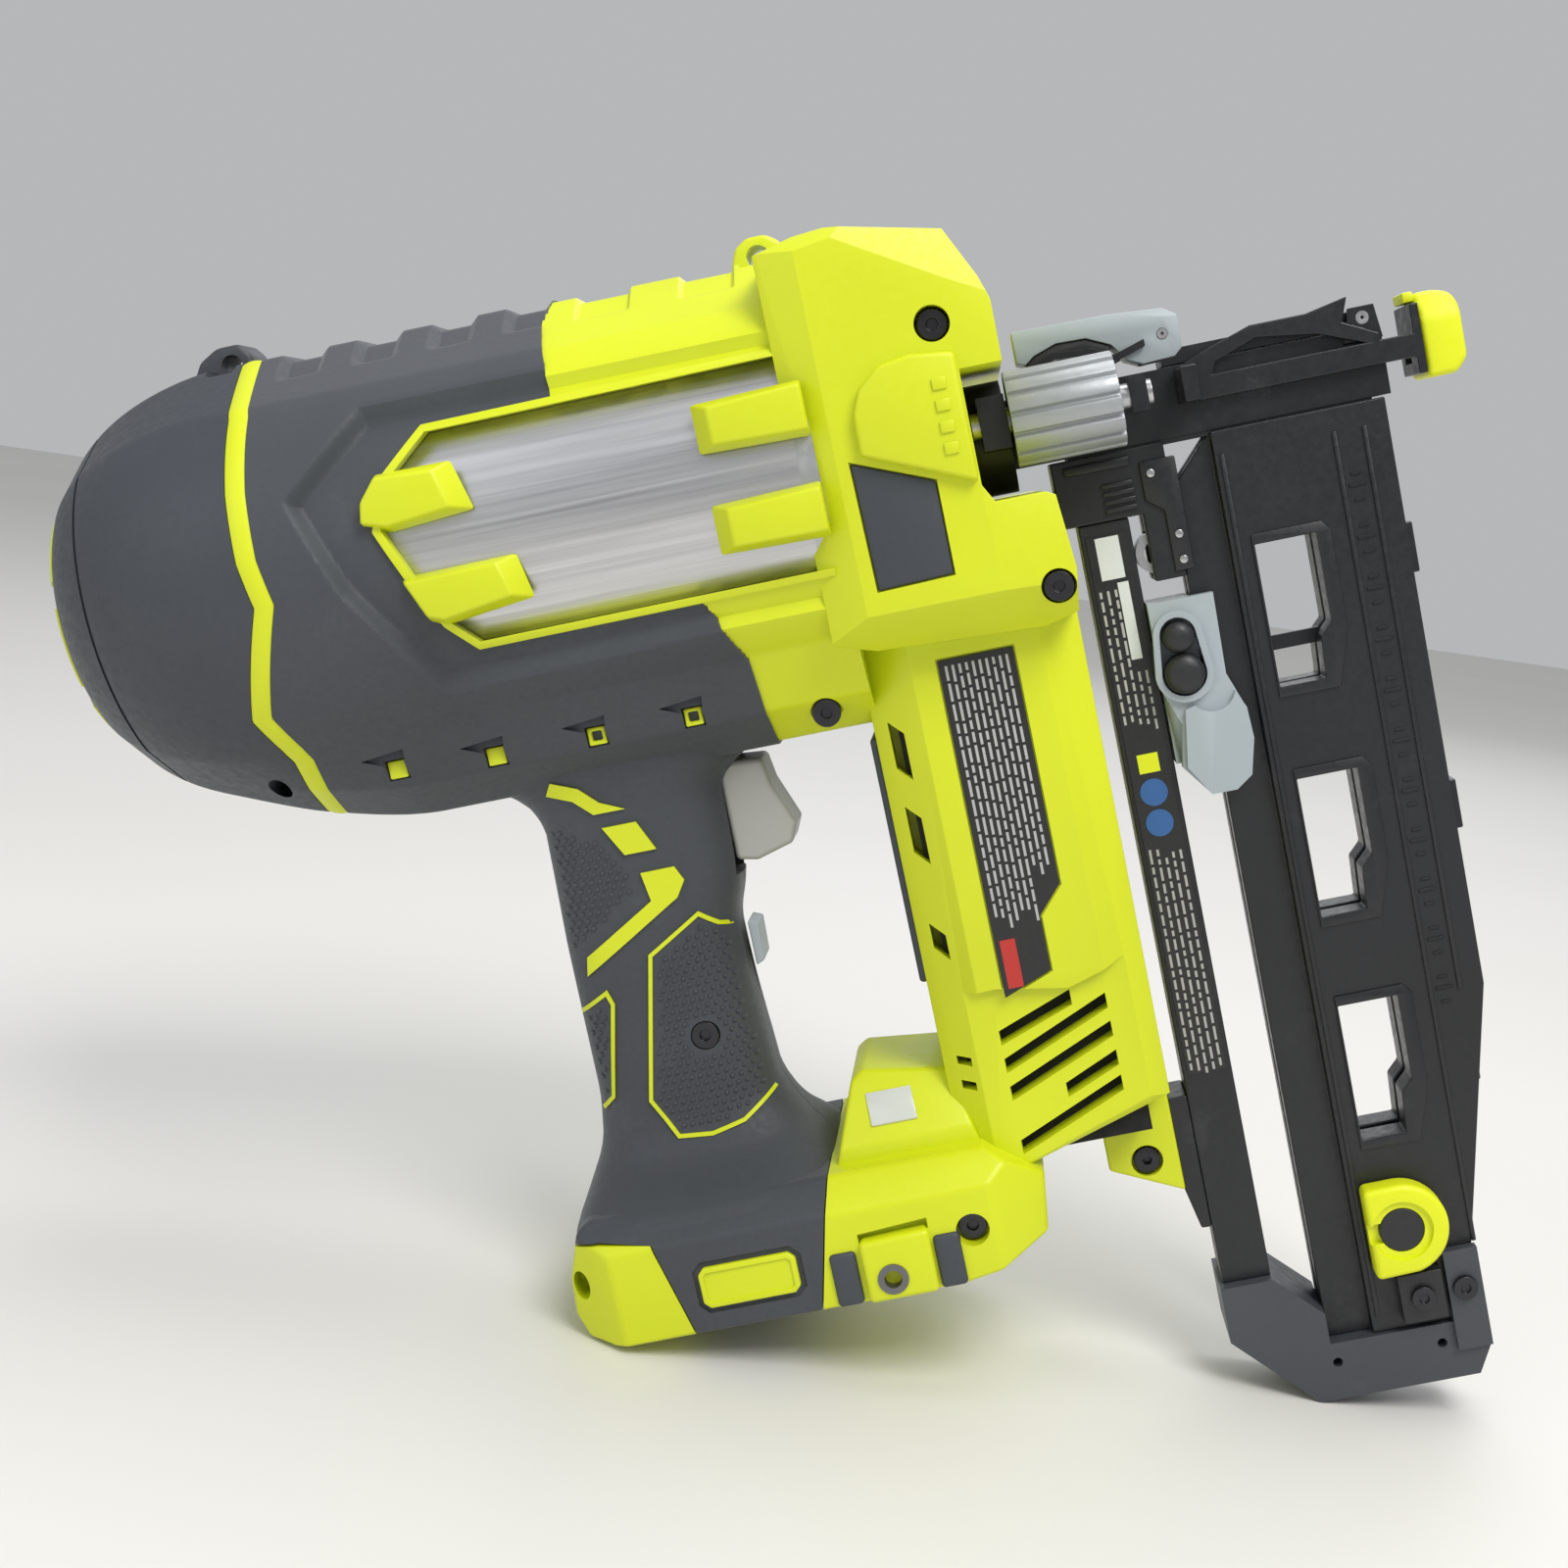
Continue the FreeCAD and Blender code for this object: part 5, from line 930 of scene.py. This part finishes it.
def handle():
    heights = np.concatenate([np.linspace(*stretch) for stretch in GRIP_HEIGHTS])
    grip = tube("handle_overmould", [grip_ring(z) for z in heights])
    bore = shell("bore", always(40.0), always(170.0), always(49.0), always(5.0), 1, 200)
    wells = [drum("grip_screw_well", GRIP_SCREW, SCREW_WELL, *across(side, 13, 25)) for side in SIDES]
    carved(grip, bore, block("trigger_room", (127, 160), (-8.6, 8.6), (-89, -60)),
           block("battery_room", *BATTERY_WAY, (-190, -146)), *wells,
           block("grip_floor", (60, 170), (-THROUGH, THROUGH), (-200, GRIP_FLOOR)))
    for edge in (GRIP_REAR[1:9], GRIP_FRONT[1:8]):
        boolean(grip, prism("grip_seam", ribbon([(x, z) for z, x in edge], 1.4), *SEAM))
    place(grip, "frame", "rubber", "mould_dark", smooth=40)


def skin_patch(name, points, lift, drop, pitch=1.6):
    """A filled side-view outline laid on the handle's side, lift above it and drop into it."""
    work = bmesh.new()
    ring = [work.verts.new((x, 0, z)) for x, z in points]
    work.faces.new(ring)
    for axis, values in ((0, [p[0] for p in points]), (2, [p[1] for p in points])):
        normal = Vector((0, 0, 0))
        normal[axis] = 1
        here = min(values) + pitch
        while here < max(values):
            bmesh.ops.bisect_plane(work, geom=work.verts[:] + work.edges[:] + work.faces[:],
                                   plane_co=normal * here, plane_no=normal)
            here += pitch
    grown = bmesh.ops.extrude_face_region(work, geom=work.faces[:])
    top = {item for item in grown["geom"] if isinstance(item, bmesh.types.BMVert)}
    for vertex in work.verts:
        y = float(grip_side(vertex.co.x, vertex.co.z))
        vertex.co.y = y - lift if vertex in top else y + drop
    bmesh.ops.recalc_face_normals(work, faces=work.faces)
    return made_from(name, work)


FRONT_PANEL = [(138.0, -100), (134.5, -98.5), (130.5, -95), (117.5, -102.5), (110, -137), (115, -146.5),
               (123, -147.3), (131, -145.8), (139, -141.0)]
REAR_PANEL = [(96.6, -114), (105, -109.5), (106, -112.5), (100.7, -135), (97.0, -138.0)]
UPPER_PANEL = [(98.5, -66), (112, -73), (119, -86), (102.5, -98), (97.5, -100)]
CHEVRONS = [
    [(104, -57.5), (110, -60), (114, -64.2), (119.5, -66.8), (112, -66.8), (108, -62.8), (102, -60.5)],
    [(113.2, -70.3), (121.3, -70.3), (124.5, -77.6), (117, -77.6)],
    [(119.6, -82.6), (127.6, -82.6), (129.2, -86.3), (126.8, -90), (101.2, -105), (102.2, -100.4),
     (120.6, -89.6)],
]

DOT_PITCH = 2.1
DOT_RADIUS = 0.72
DOT_SIDES = 6


def dots(name, outline, height, inset):
    """Rows of small round-topped bumps inside an outline on the handle's side."""
    area = grow(outline, -inset)
    xs = np.arange(min(p[0] for p in area), max(p[0] for p in area), DOT_PITCH)
    zs = np.arange(min(p[1] for p in area), max(p[1] for p in area), DOT_PITCH * 0.87)
    verts, faces = [], []
    for row, z in enumerate(zs):
        for x in xs + (DOT_PITCH / 2 if row % 2 else 0):
            near_screw = math.hypot(x - GRIP_SCREW[0], z - GRIP_SCREW[1]) < 4.8
            if near_screw or float(signed_distance(area, np.array(x), np.array(z))) > -DOT_RADIUS:
                continue
            base = len(verts)
            # how far each ring stands above the handle's side, and its share of the radius
            for level, size in ((-0.3, 1.0), (0.55 * height, 0.86), (height, 0.45)):
                verts += [(px, float(grip_side(px, pz)) - level, pz)
                          for px, pz in circle((x, z), DOT_RADIUS * size, DOT_SIDES)]
            faces += ring_faces(3, DOT_SIDES, base)
            faces.append(tuple(range(len(verts) - DOT_SIDES, len(verts))))
    return mesh_object(name, verts, faces)


def grip_details():
    pads = [skin_patch("panel", panel, 0.35, 0.8) for panel in (FRONT_PANEL, REAR_PANEL)]
    boolean(pads[0], drum("pad_well", GRIP_SCREW, SCREW_WELL, -30, -5))
    place(pair("grip_pads", merged("grip_pads_right", *pads)), "frame", "rubber", "mould_dark", smooth=40)
    rows = [dots("dots_front", FRONT_PANEL, 0.95, 1.3), dots("dots_rear", REAR_PANEL, 0.95, 1.2),
            dots("dots_upper", UPPER_PANEL, 0.6, 0.5)]
    place(pair("grip_dots", merged("grip_dots_right", *rows)), "frame", "rubber", "mould_dark", smooth=60)
    lines = [skin_patch("panel_line", ribbon(panel, 0.95), 0.7, 0.6, 1.2)
             for panel in (FRONT_PANEL, REAR_PANEL)]
    lines += [skin_patch("chevron", points, 0.75, 0.6, 1.2) for points in CHEVRONS]
    place(pair("grip_inlays", merged("grip_inlays_right", *lines)), "frame", "lime", "band_lime", smooth=40)


FOOT = [(84, -181), (84.8, -172), (89.2, -160.5), (92, -159), (186, -159), (199, -169), (197.3, -183),
        (185, -187.2), (176, -188.5), (93, -188.5), (86.5, -186.5)]
FOOT_PLANES = [
    ((84, -30, 0), (84, -30, -10), (96, -FOOT_HALF, 0)),
    ((186, -FOOT_HALF, 0), (186, -FOOT_HALF, -10), (199, -28, 0)),
    ((90, -FOOT_HALF, -166), (190, -FOOT_HALF, -166), (150, -31, -159)),
]
REAR_ZONE = [(60, -163.5), (94, -163.8), (106.5, -165.5), (112.8, -189.5), (60, -189.5)]
MIDDLE_ZONE = [(60, -163.0), (94.35, -163.2), (106.85, -165.5), (113.15, -189.5), (142.1, -189.5),
               (151.1, -150), (60, -150)]
FRONT_ZONE = [(151.5, -150), (142.5, -189.5), (220, -189.5), (220, -150)]
HOOK_SEAT = [(154, -172), (170.5, -171), (170.5, -173.5), (154, -174.5)]
HOOK_TAB = [(154, -173.5), (170.5, -173.0), (170.5, -188.2), (154, -188.2)]
HEEL_SLOT = (87.6, -173.5)
FOOT_SCREW = (180.5, -176)
PLATEAU = [(150.5, -161), (157.5, -142), (160.5, -140), (181.5, -143), (186, -161)]
PLATEAU_PLANE = ((155, -26, -157), (180, -26, -157), (165, -14.5, -139.5))
BADGE = [(117.5, -182.6), (137.5, -182.6), (139, -181.1), (139, -174.3), (137.5, -172.8), (117.5, -172.8),
         (116, -174.3), (116, -181.1)]


def foot_body():
    """The foot's three parts: coloured heel, soft middle and coloured front."""
    whole = prism("foot_whole", FOOT, -FOOT_HALF, FOOT_HALF)
    chamfered(whole, *FOOT_PLANES)
    parted(bevelled(whole, 2.4, 4, 16), FOOT)
    boolean(whole, block("battery_way", *BATTERY_WAY, (-192, -146)))
    rear, front = twin(whole, "foot_rear_shell"), twin(whole, "foot_front_shell")
    middle = whole
    middle.name = "foot_overmould"
    for part, zone in ((rear, REAR_ZONE), (front, FRONT_ZONE), (middle, MIDDLE_ZONE)):
        boolean(part, prism("zone", zone, -THROUGH, THROUGH), "INTERSECT")
    for side in SIDES:
        out = side * THROUGH
        slot_tool = drum("heel_slot", (HEEL_SLOT[0], 0), 2.1, side * 24, out)
        slot_tool.data.transform(Matrix.Translation((0, 0, HEEL_SLOT[1])) @ Matrix.Diagonal((1, 1, 1.7, 1)))
        boolean(rear, slot_tool)
        boolean(middle, prism("badge_seat", grow(BADGE, 1.4), side * (FOOT_HALF - 0.8), out))
        boolean(front, prism("hook_seat", HOOK_SEAT, side * 35, out))
        boolean(front, drum("front_well", FOOT_SCREW, WELL, side * 33, out))
    place(rear, "frame", "lime", "shell_lime", smooth=30)
    place(middle, "frame", "rubber", "mould_dark", smooth=30)
    place(front, "frame", "lime", "shell_lime", smooth=30)


def foot():
    foot_body()
    plateau = prism("light_plateau", PLATEAU, -25, 25)
    chamfered(plateau, PLATEAU_PLANE)
    place(bevelled(plateau, 1.0, 3, 18), "frame", "lime", "shell_lime")
    windows = [light_window(side) for side in SIDES]
    place(merged("work_light_lens", *windows), "frame", "lens", "clear_lens", "light_lens")
    tabs, bars = [], []
    for side in SIDES:
        near = side * (FOOT_HALF - 3)
        tab = bevelled(prism("hook_tab", HOOK_TAB, near, side * (FOOT_HALF + 2.6)), 1.3, 3)
        tabs.append(boolean(tab, drum("hook_hole", (160.5, -183), 3.4, side * 36, side * THROUGH)))
        for x in (146.6, 171.0):
            bar = block("foot_bar", (x, x + 6.2), (near, side * (FOOT_HALF + 1.2)), (-188.2, -175.5))
            bars.append(bevelled(bar, 1.0, 3))
    place(merged("hook_tabs", *tabs), "frame", "lime", "shell_lime")
    place(merged("foot_dark_bars", *bars), "frame", "dark", "insert_dark", "foot_bars")
    place(pair("foot_badge_plates", badge_plate()), "frame", "lime", "band_lime", "foot_badges")


def light_window(side):
    """The clear window in the sloping side of the light's plateau."""
    low, high = Vector((161, side * 22.9, -152.0)), Vector((160.5, side * 18.0, -145.2))
    width = Vector((11.0, 0, 0))
    out = Vector((0, side * 0.82, 0.57)) * 0.6
    corners = [low, low + width, high + width, high]
    return bevelled(tube("lens_side", [[c - out * 2 for c in corners], [c + out for c in corners]]), 0.3, 2)


def badge_plate():
    """A raised plate with a rim round a plain field."""
    plate = bevelled(prism("badge", BADGE, -FOOT_HALF - 0.7, -FOOT_HALF + 0.9), 0.4, 3)
    return boolean(plate, prism("badge_field", grow(BADGE, -1.2), -FOOT_HALF - 3, -FOOT_HALF - 0.2))


# ---------------------------------------------------------------- carried-over pieces


def polish(node, finish, width):
    """Gives a CAD node its material and rounded edges of that width in millimetres."""
    thing = frame["nodes"][node]
    thing.data.materials.clear()
    thing.data.materials.append(M[finish])
    for polygon in thing.data.polygons:
        polygon.material_index = 0
    if width:
        weld = thing.modifiers.new("weld", "WELD")
        weld.merge_threshold = 0.000005
        flat = thing.modifiers.new("flat", "DECIMATE")
        flat.decimate_type = "DISSOLVE"
        flat.angle_limit = math.radians(0.6)
        edge = thing.modifiers.new("edge", "BEVEL")
        edge.width = width / 1000
        edge.segments = 2
        edge.limit_method = "ANGLE"
        edge.angle_limit = math.radians(30)
        thing.modifiers.new("normals", "WEIGHTED_NORMAL")


CARRIED = [
    # material, edge rounding in millimetres, nodes
    ("alu", 0, "air_cylinder"),
    ("cast", 0, "cylinder_end_plate cylinder_front_plate compression_piston drive_piston gearbox_case"),
    ("seal", 0, "end_plate_seal bumper compression_seal drive_piston_ring"),
    ("steel", 0, "drive_cylinder connecting_rods driver_blade crankshaft crown_gear bearings output_pinion"),
    ("steel", 0, "planet_gears pusher_spring door_pin latch_pin"),
    ("steel", 0.2, "depth_screw"),
    ("iron", 0, "motor_can motor_magnets motor_rotor hook_inserts"),
    ("button", 0, "cooling_fan trigger_switch"),
    ("button", 0.4, "pad_peg"),
    ("trigger", 0.6, "trigger"),
    ("light", 0.4, "grip_insert"),
    ("board", 0, "circuit_board"),
    ("brass", 0, "terminal_block"),
    ("screw", 0.2, "screws"),
    ("magazine", 0.4, "magazine_track nail_rail"),
    ("magazine", 0.5, "magazine_mounts"),
    ("cap_grey", 0.5, "magazine_end_cap"),
    ("black_steel", 0.4, "nose_block nose_door depth_stop contact_arm"),
    ("black_steel", 0.3, "latch_bail"),
]


def carried():
    for finish, width, nodes in CARRIED:
        for node in nodes.split():
            polish(node, finish, width)


# ---------------------------------------------------------------- nose pieces

WHEEL = (-20.0, 3.0)    # Y and Z of the depth wheel's axis
WHEEL_RADIUS = 10.8
WHEEL_RIBS = 14
WHEEL_GROOVE = 1.1
LATCH = [(229.3, 22.9), (252, 22.6), (264.5, 21.6), (267.6, 19.5), (267.6, 12.0), (265.5, 10.2), (258, 9.9),
         (254.5, 11.5), (251.5, 15.6), (246, 18.2), (239, 18.4), (233.5, 16.6), (231.2, 14.9), (229.3, 15.6)]

LATCH_CUSHION = LATCH[8:13] + [(232.0, 12.4), (234.5, 13.9), (240, 15.4), (246, 15.0), (250.5, 12.3)]
TIP = [(321.7, -6.3), (328.6, -6.3), (331.4, -3.2), (331.4, 9.6), (330.2, 12.2), (326.6, 13.4),
       (321.7, 13.4)]


def wheel_profile():
    """A ring of broad ribs with narrow grooves, as (Y, Z)."""
    floor = WHEEL_RADIUS - WHEEL_GROOVE
    points = []
    for i in range(WHEEL_RIBS):
        for part, size in ((0.0, WHEEL_RADIUS), (0.28, WHEEL_RADIUS), (0.68, WHEEL_RADIUS), (0.76, floor),
                           (0.92, floor)):
            t = 2 * math.pi * (i + part) / WHEEL_RIBS
            points.append((WHEEL[0] + size * math.cos(t), WHEEL[1] + size * math.sin(t)))
    return points


def nose_pieces():
    wheel = bevelled(lengthwise("wheel_ribbed", wheel_profile(), 225.0, 249.9), 0.3, 2, 40)
    carved(wheel, lengthwise("wheel_dish", circle(WHEEL, 8.0), 248.6, 252),
           lengthwise("wheel_through", circle(WHEEL, 3.05), 220, 252))
    place(wheel, "depth_wheel", "silver", "wheel_silver", "depth_wheel", smooth=35)
    collar = lengthwise("wheel_collar", circle(WHEEL, 9.4), 224.95, 226.6)
    place(collar, "depth_wheel", "button", "wheel_silver")

    lever = prism("latch_lever", LATCH, -6.8, 6.8)
    carved(lever, block("latch_room", (257.5, 272), (-3.0, 3.0), (5, 25)),
           drum("latch_eye", (263.5, 15.8), 1.25, -12, 12))
    chamfered(lever, ((228, -6.8, 21.0), (270, -6.8, 19.2), (250, -5.4, 23.5)))
    place(bevelled(lever, 0.6, 3, 24), "jam_latch", "light", "light_grey", "jam_latch")
    cushion = prism("latch_cushion", LATCH_CUSHION, -6.2, 6.2)
    place(bevelled(cushion, 0.5, 2, 40), "jam_latch", "button", "button_black")

    pad = prism("tip", TIP, -9, 9)
    chamfered(pad, ((321, -5.5, 13.5), (332, -5.5, 13.5), (326, -9, 7.2)))
    bevelled(pad, 1.6, 5, 18)
    boolean(pad, block("tip_way", (310, 340), (-3.2, 3.2), (-2.2, 2.6)))
    lip = bevelled(block("tip_lip", (319.4, 321.9), (-5.6, 5.6), (11.5, 13.9)), 0.5, 2)
    place(merged("tip_pad", pad, lip), "contact_arm", "pad", "pad_yellow", "no_mar_tip")


BRIDGE_FACE = -7.6      # Y of the bridge's right side
BRIDGE_PLATE = [(252.5, -12), (261.0, -12), (261.0, -38.5), (256.5, -38.5), (256.5, -24), (252.5, -21)]
RIVETS = [(254.8, -15.0), (258.8, -30.0), (258.8, -36.0)]


def bridge_details():
    """Raised plates, ribs and rivets on the sides of the bridge between nose, rail and track."""
    joint = block("nose_joint_strip", (236.5, 308.5), (-6.6, -1.6), (-9.2, -7.6))
    place(pair("nose_joint_strips", joint), "frame", "black_steel", "black_steel")
    parts = [bevelled(prism("bridge_plate", BRIDGE_PLATE, -8.9, BRIDGE_FACE), 0.4, 2),
             bevelled(block("bridge_rib", (235, 250.5), (-9.2, BRIDGE_FACE), (-12.2, -10)), 0.4, 2)]
    for i in range(4):
        low = -16.6 - 1.9 * i
        grip = block("bridge_grip", (243, 250.5), (-9.0, BRIDGE_FACE), (low, low + 1.1))
        parts.append(bevelled(grip, 0.3, 2))
    place(pair("bridge_sides", merged("bridge_side_right", *parts)), "frame", "magazine", "magazine_black")
    rivets = [bevelled(drum("rivet", spot, 1.0, -9.5, -8.4, 24), 0.25, 2) for spot in RIVETS]
    place(pair("bridge_rivets", merged("bridge_rivets_right", *rivets)), "frame", "steel", "machined_steel")


CARRIAGE_FACE = -13.0   # Y of the pusher carriage's right side
CARRIAGE = [(248.2, -44.7), (263.8, -44.7), (263.4, -64), (266.6, -72.5), (267.0, -80), (265.0, -88.5),
            (261, -91.3), (255, -91.3), (249.5, -84), (251.2, -74), (248.2, -66)]
THUMB_TAB = [(252.4, -70.5), (258.5, -68.8), (264.0, -67.0), (266.6, -72.5), (267.0, -80), (265.0, -88.5),
             (261, -91.3), (255, -91.3), (250.5, -84)]


def arc(centre, radius, start, end, count):
    """Points on an arc, between two angles in radians."""
    return [(centre[0] + radius * math.cos(t), centre[1] + radius * math.sin(t))
            for t in np.linspace(start, end, count)]


def pusher_pieces():
    """The pusher's carriage with its raised oval rim, its curved thumb tab and the release knob."""
    face = CARRIAGE_FACE
    plate = prism("carriage", CARRIAGE, face + 1.6, -7.6)
    oval = arc((253.8, -53), 4.3, 0, math.pi, 15) + arc((253.8, -62), 5.3, math.pi, 2 * math.pi, 17)
    rim = prism("carriage_rim", grow(oval, 1.5), face, face + 3)
    tab = prism("thumb_tab", THUMB_TAB, face, face + 3)
    boolean(tab, drum("tab_hollow", (259.3, -66.5), 5.6, face - 1, face + 1.6))
    boolean(plate, rim, "UNION")
    boolean(plate, tab, "UNION")
    boolean(plate, prism("knob_way", oval, face - 3, face + 6.0))
    bevelled(plate, 0.6, 3, 30)
    body = block("carriage_body", (248.4, 258.6), (-8.0, 5.5), (-83.3, -44.7))
    boolean(body, prism("body_way", oval, face - 3, face + 6.1))
    boolean(plate, body, "UNION")
    place(plate, "pusher", "light", "light_grey", "pusher")
    follower = block("pusher_follower", (258.4, 288), (-0.9, 0.9), (-62, -58.5))
    place(follower, "pusher", "black_steel", "black_steel")
    knob = merged("release_knob", dome_knob("knob_top", (253.8, -53.4), 3.7, 15.4),
                  dome_knob("knob_low", (253.8, -62), 4.7, 15.9))
    place(knob, "pusher_button", "button", "button_black", "pusher_button", smooth=50)


def dome_knob(name, centre, radius, out):
    """A round push button with a domed face, standing on the right-hand side."""
    foot_level, tip_radius = 9.9, 0.02
    profile = [(tip_radius, out), (radius * 0.45, out - 0.15), (radius * 0.75, out - 0.55),
               (radius * 0.93, out - 1.2), (radius, out - 2.2), (radius, foot_level),
               (tip_radius, foot_level)]
    return tube(name, [[(x, -y, z) for x, z in circle(centre, size, 40)] for size, y in profile])


SPARE = (280.5, -204.5)


def spare_tip():
    """The spare soft pad, pushed on its peg beside the track's foot."""
    outline = [(272.5, -216), *arc(SPARE, 11.4, -1.35, 1.65, 26), (272.5, -193.2)]
    pad = bevelled(prism("spare", outline, -16.4, -9.2), 1.5, 4, 25)
    carved(pad, drum("spare_room", SPARE, 5.5, -30, 0),
           block("spare_notch", (268, 276.5), (-30, -13.6), (-207, -202)),
           drum("spare_step", SPARE, 7.4, -20, -15.2))
    place(pad, "frame", "pad", "pad_yellow", "spare_pad", smooth=40)


# ---------------------------------------------------------------- magazine details

TRACK_FACE = -9.0       # Y of the magazine track's right side
RIDGES = [(271.2, -228.0), (297.5, -213.0), (304.6, -150.0)]    # X and lower end
SIGHT_PITCH = 56.3
TICK_PITCH = 6.1


def sight_frame(top):
    """The raised frame round one of the magazine's windows, from its upper edge down."""
    outline = [(275.0, top + 2.5), (291.5, top + 2.5), (293.5, top), (293.5, top - 23), (289.5, top - 36.5),
               (275.0, top - 36.5)]
    hole = [(275.5, top), (290, top), (290, top - 21), (287, top - 24), (286.5, top - 34), (275.5, top - 34)]
    rim = prism("sight_frame", outline, TRACK_FACE - 0.7, TRACK_FACE + 0.2)
    boolean(rim, prism("sight_hole", hole, TRACK_FACE - 3, TRACK_FACE + 3))
    return bevelled(rim, 0.3, 2)


def on_track(name, x, z, proud, rounding, segments=2):
    """A low bar on the side of the magazine track."""
    return bevelled(block(name, x, (TRACK_FACE - proud, TRACK_FACE + 0.2), z), rounding, segments)


def magazine_details():
    """Ridges, bevelled frames round the windows and size ticks on the magazine track."""
    parts = [sight_frame(-36.0 - SIGHT_PITCH * i) for i in range(3)]
    parts += [on_track("ridge", (x, x + 1.1), (low, -14.0), 0.6, 0.25) for x, low in RIDGES]
    place(merged("track_ridges", *parts), "frame", "magazine", "magazine_black")
    ticks = []
    for i in range(22):
        z = -24.0 - TICK_PITCH * i
        ticks.append(on_track("tick", (300.2, 302.6), (z - 0.7, z), 0.4, 0.12, 1))
        if i % 2 == 0:
            ticks.append(on_track("tick_long", (299.4, 303.4), (z - 3.4, z - 2.6), 0.4, 0.12, 1))
    place(merged("track_ticks", *ticks), "frame", "black_steel", "magazine_black")


# ---------------------------------------------------------------- room, lights and camera

LAMP_TARGET = Vector((0, 0, 0.13))


def studio():
    floor = mesh_object("floor", [(-4, -4, 0), (4, -4, 0), (4, 4, 0), (-4, 4, 0)], [(0, 1, 2, 3)])
    surface = bpy.data.materials.new("pale_floor")
    surface.use_nodes = True
    tree = surface.node_tree
    shader = tree.nodes["Principled BSDF"]
    place_node = tree.nodes.new("ShaderNodeTexCoord")
    shade = noise(tree, place_node.outputs["Object"], 3.0)
    wire(tree, tint(tree, shade, (0.70, 0.69, 0.66), (0.76, 0.75, 0.73)), shader.inputs["Base Color"])
    shader.inputs["Roughness"].default_value = 0.55
    floor.data.materials.append(surface)
    world = bpy.data.worlds.new("studio")
    world.use_nodes = True
    background = world.node_tree.nodes["Background"]
    background.inputs["Color"].default_value = (0.90, 0.91, 0.93, 1)
    background.inputs["Strength"].default_value = 0.52
    bpy.context.scene.world = world
    bpy.context.scene.view_settings.view_transform = "Standard"
    lamps = [
        # name, place in metres, size, power in watts, colour
        ("key", (0.5, -1.0, 1.5), 0.8, 21.0, (1.0, 0.98, 0.95)),
        ("fill", (-1.3, -1.2, 0.8), 1.2, 5.0, (0.93, 0.96, 1.0)),
        ("top", (0.1, 0.2, 1.7), 1.0, 10.0, (1.0, 1.0, 1.0)),
        ("back", (0.3, 1.5, 1.1), 1.2, 5.0, (0.96, 0.98, 1.0)),
    ]
    for name, spot, size, power, colour in lamps:
        light = bpy.data.lights.new(name, "AREA")
        light.size = size
        light.energy = power
        light.color = colour
        lamp = linked(name, light)
        lamp.location = spot
        lamp.rotation_mode = "QUATERNION"
        lamp.rotation_quaternion = (LAMP_TARGET - Vector(spot)).to_track_quat("-Z", "Y")


CAMERA_SPOT = Vector((214.4, -492.3, -9.9))
CAMERA_YAW = math.radians(-2.0)
CAMERA_PITCH = math.radians(8.0)
CAMERA_ROLL = math.radians(11.5)
CAMERA_LENS = 47.25
CAMERA_SHIFT = -0.1135


def camera():
    """The camera in the design frame: a little nose-ward of square on, looking down, and rolled."""
    forward = Vector((math.sin(CAMERA_YAW) * math.cos(CAMERA_PITCH),
                      math.cos(CAMERA_YAW) * math.cos(CAMERA_PITCH), -math.sin(CAMERA_PITCH)))
    level = Vector((math.cos(CAMERA_YAW), -math.sin(CAMERA_YAW), 0))
    down = forward.cross(level)
    right = level * math.cos(CAMERA_ROLL) + down * math.sin(CAMERA_ROLL)
    low = down * math.cos(CAMERA_ROLL) - level * math.sin(CAMERA_ROLL)
    turn = Matrix((right, -low, -forward)).transposed()
    data = bpy.data.cameras.new("camera")
    data.sensor_width = 36.0
    data.lens = CAMERA_LENS
    data.shift_x = CAMERA_SHIFT
    data.dof.use_dof = False
    data.clip_start = 0.02
    thing = linked("camera", data)
    tilt = TO_ROW.to_3x3() * 1000
    thing.matrix_world = Matrix.Translation(TO_ROW @ CAMERA_SPOT) @ (tilt @ turn).to_4x4()
    bpy.context.scene.camera = thing


barrel()
rear_cap()
head()
rating_label()
rail_label()
handle()
grip_details()
foot()
magazine_details()
nose_pieces()
bridge_details()
pusher_pieces()
spare_tip()
carried()
studio()
camera()
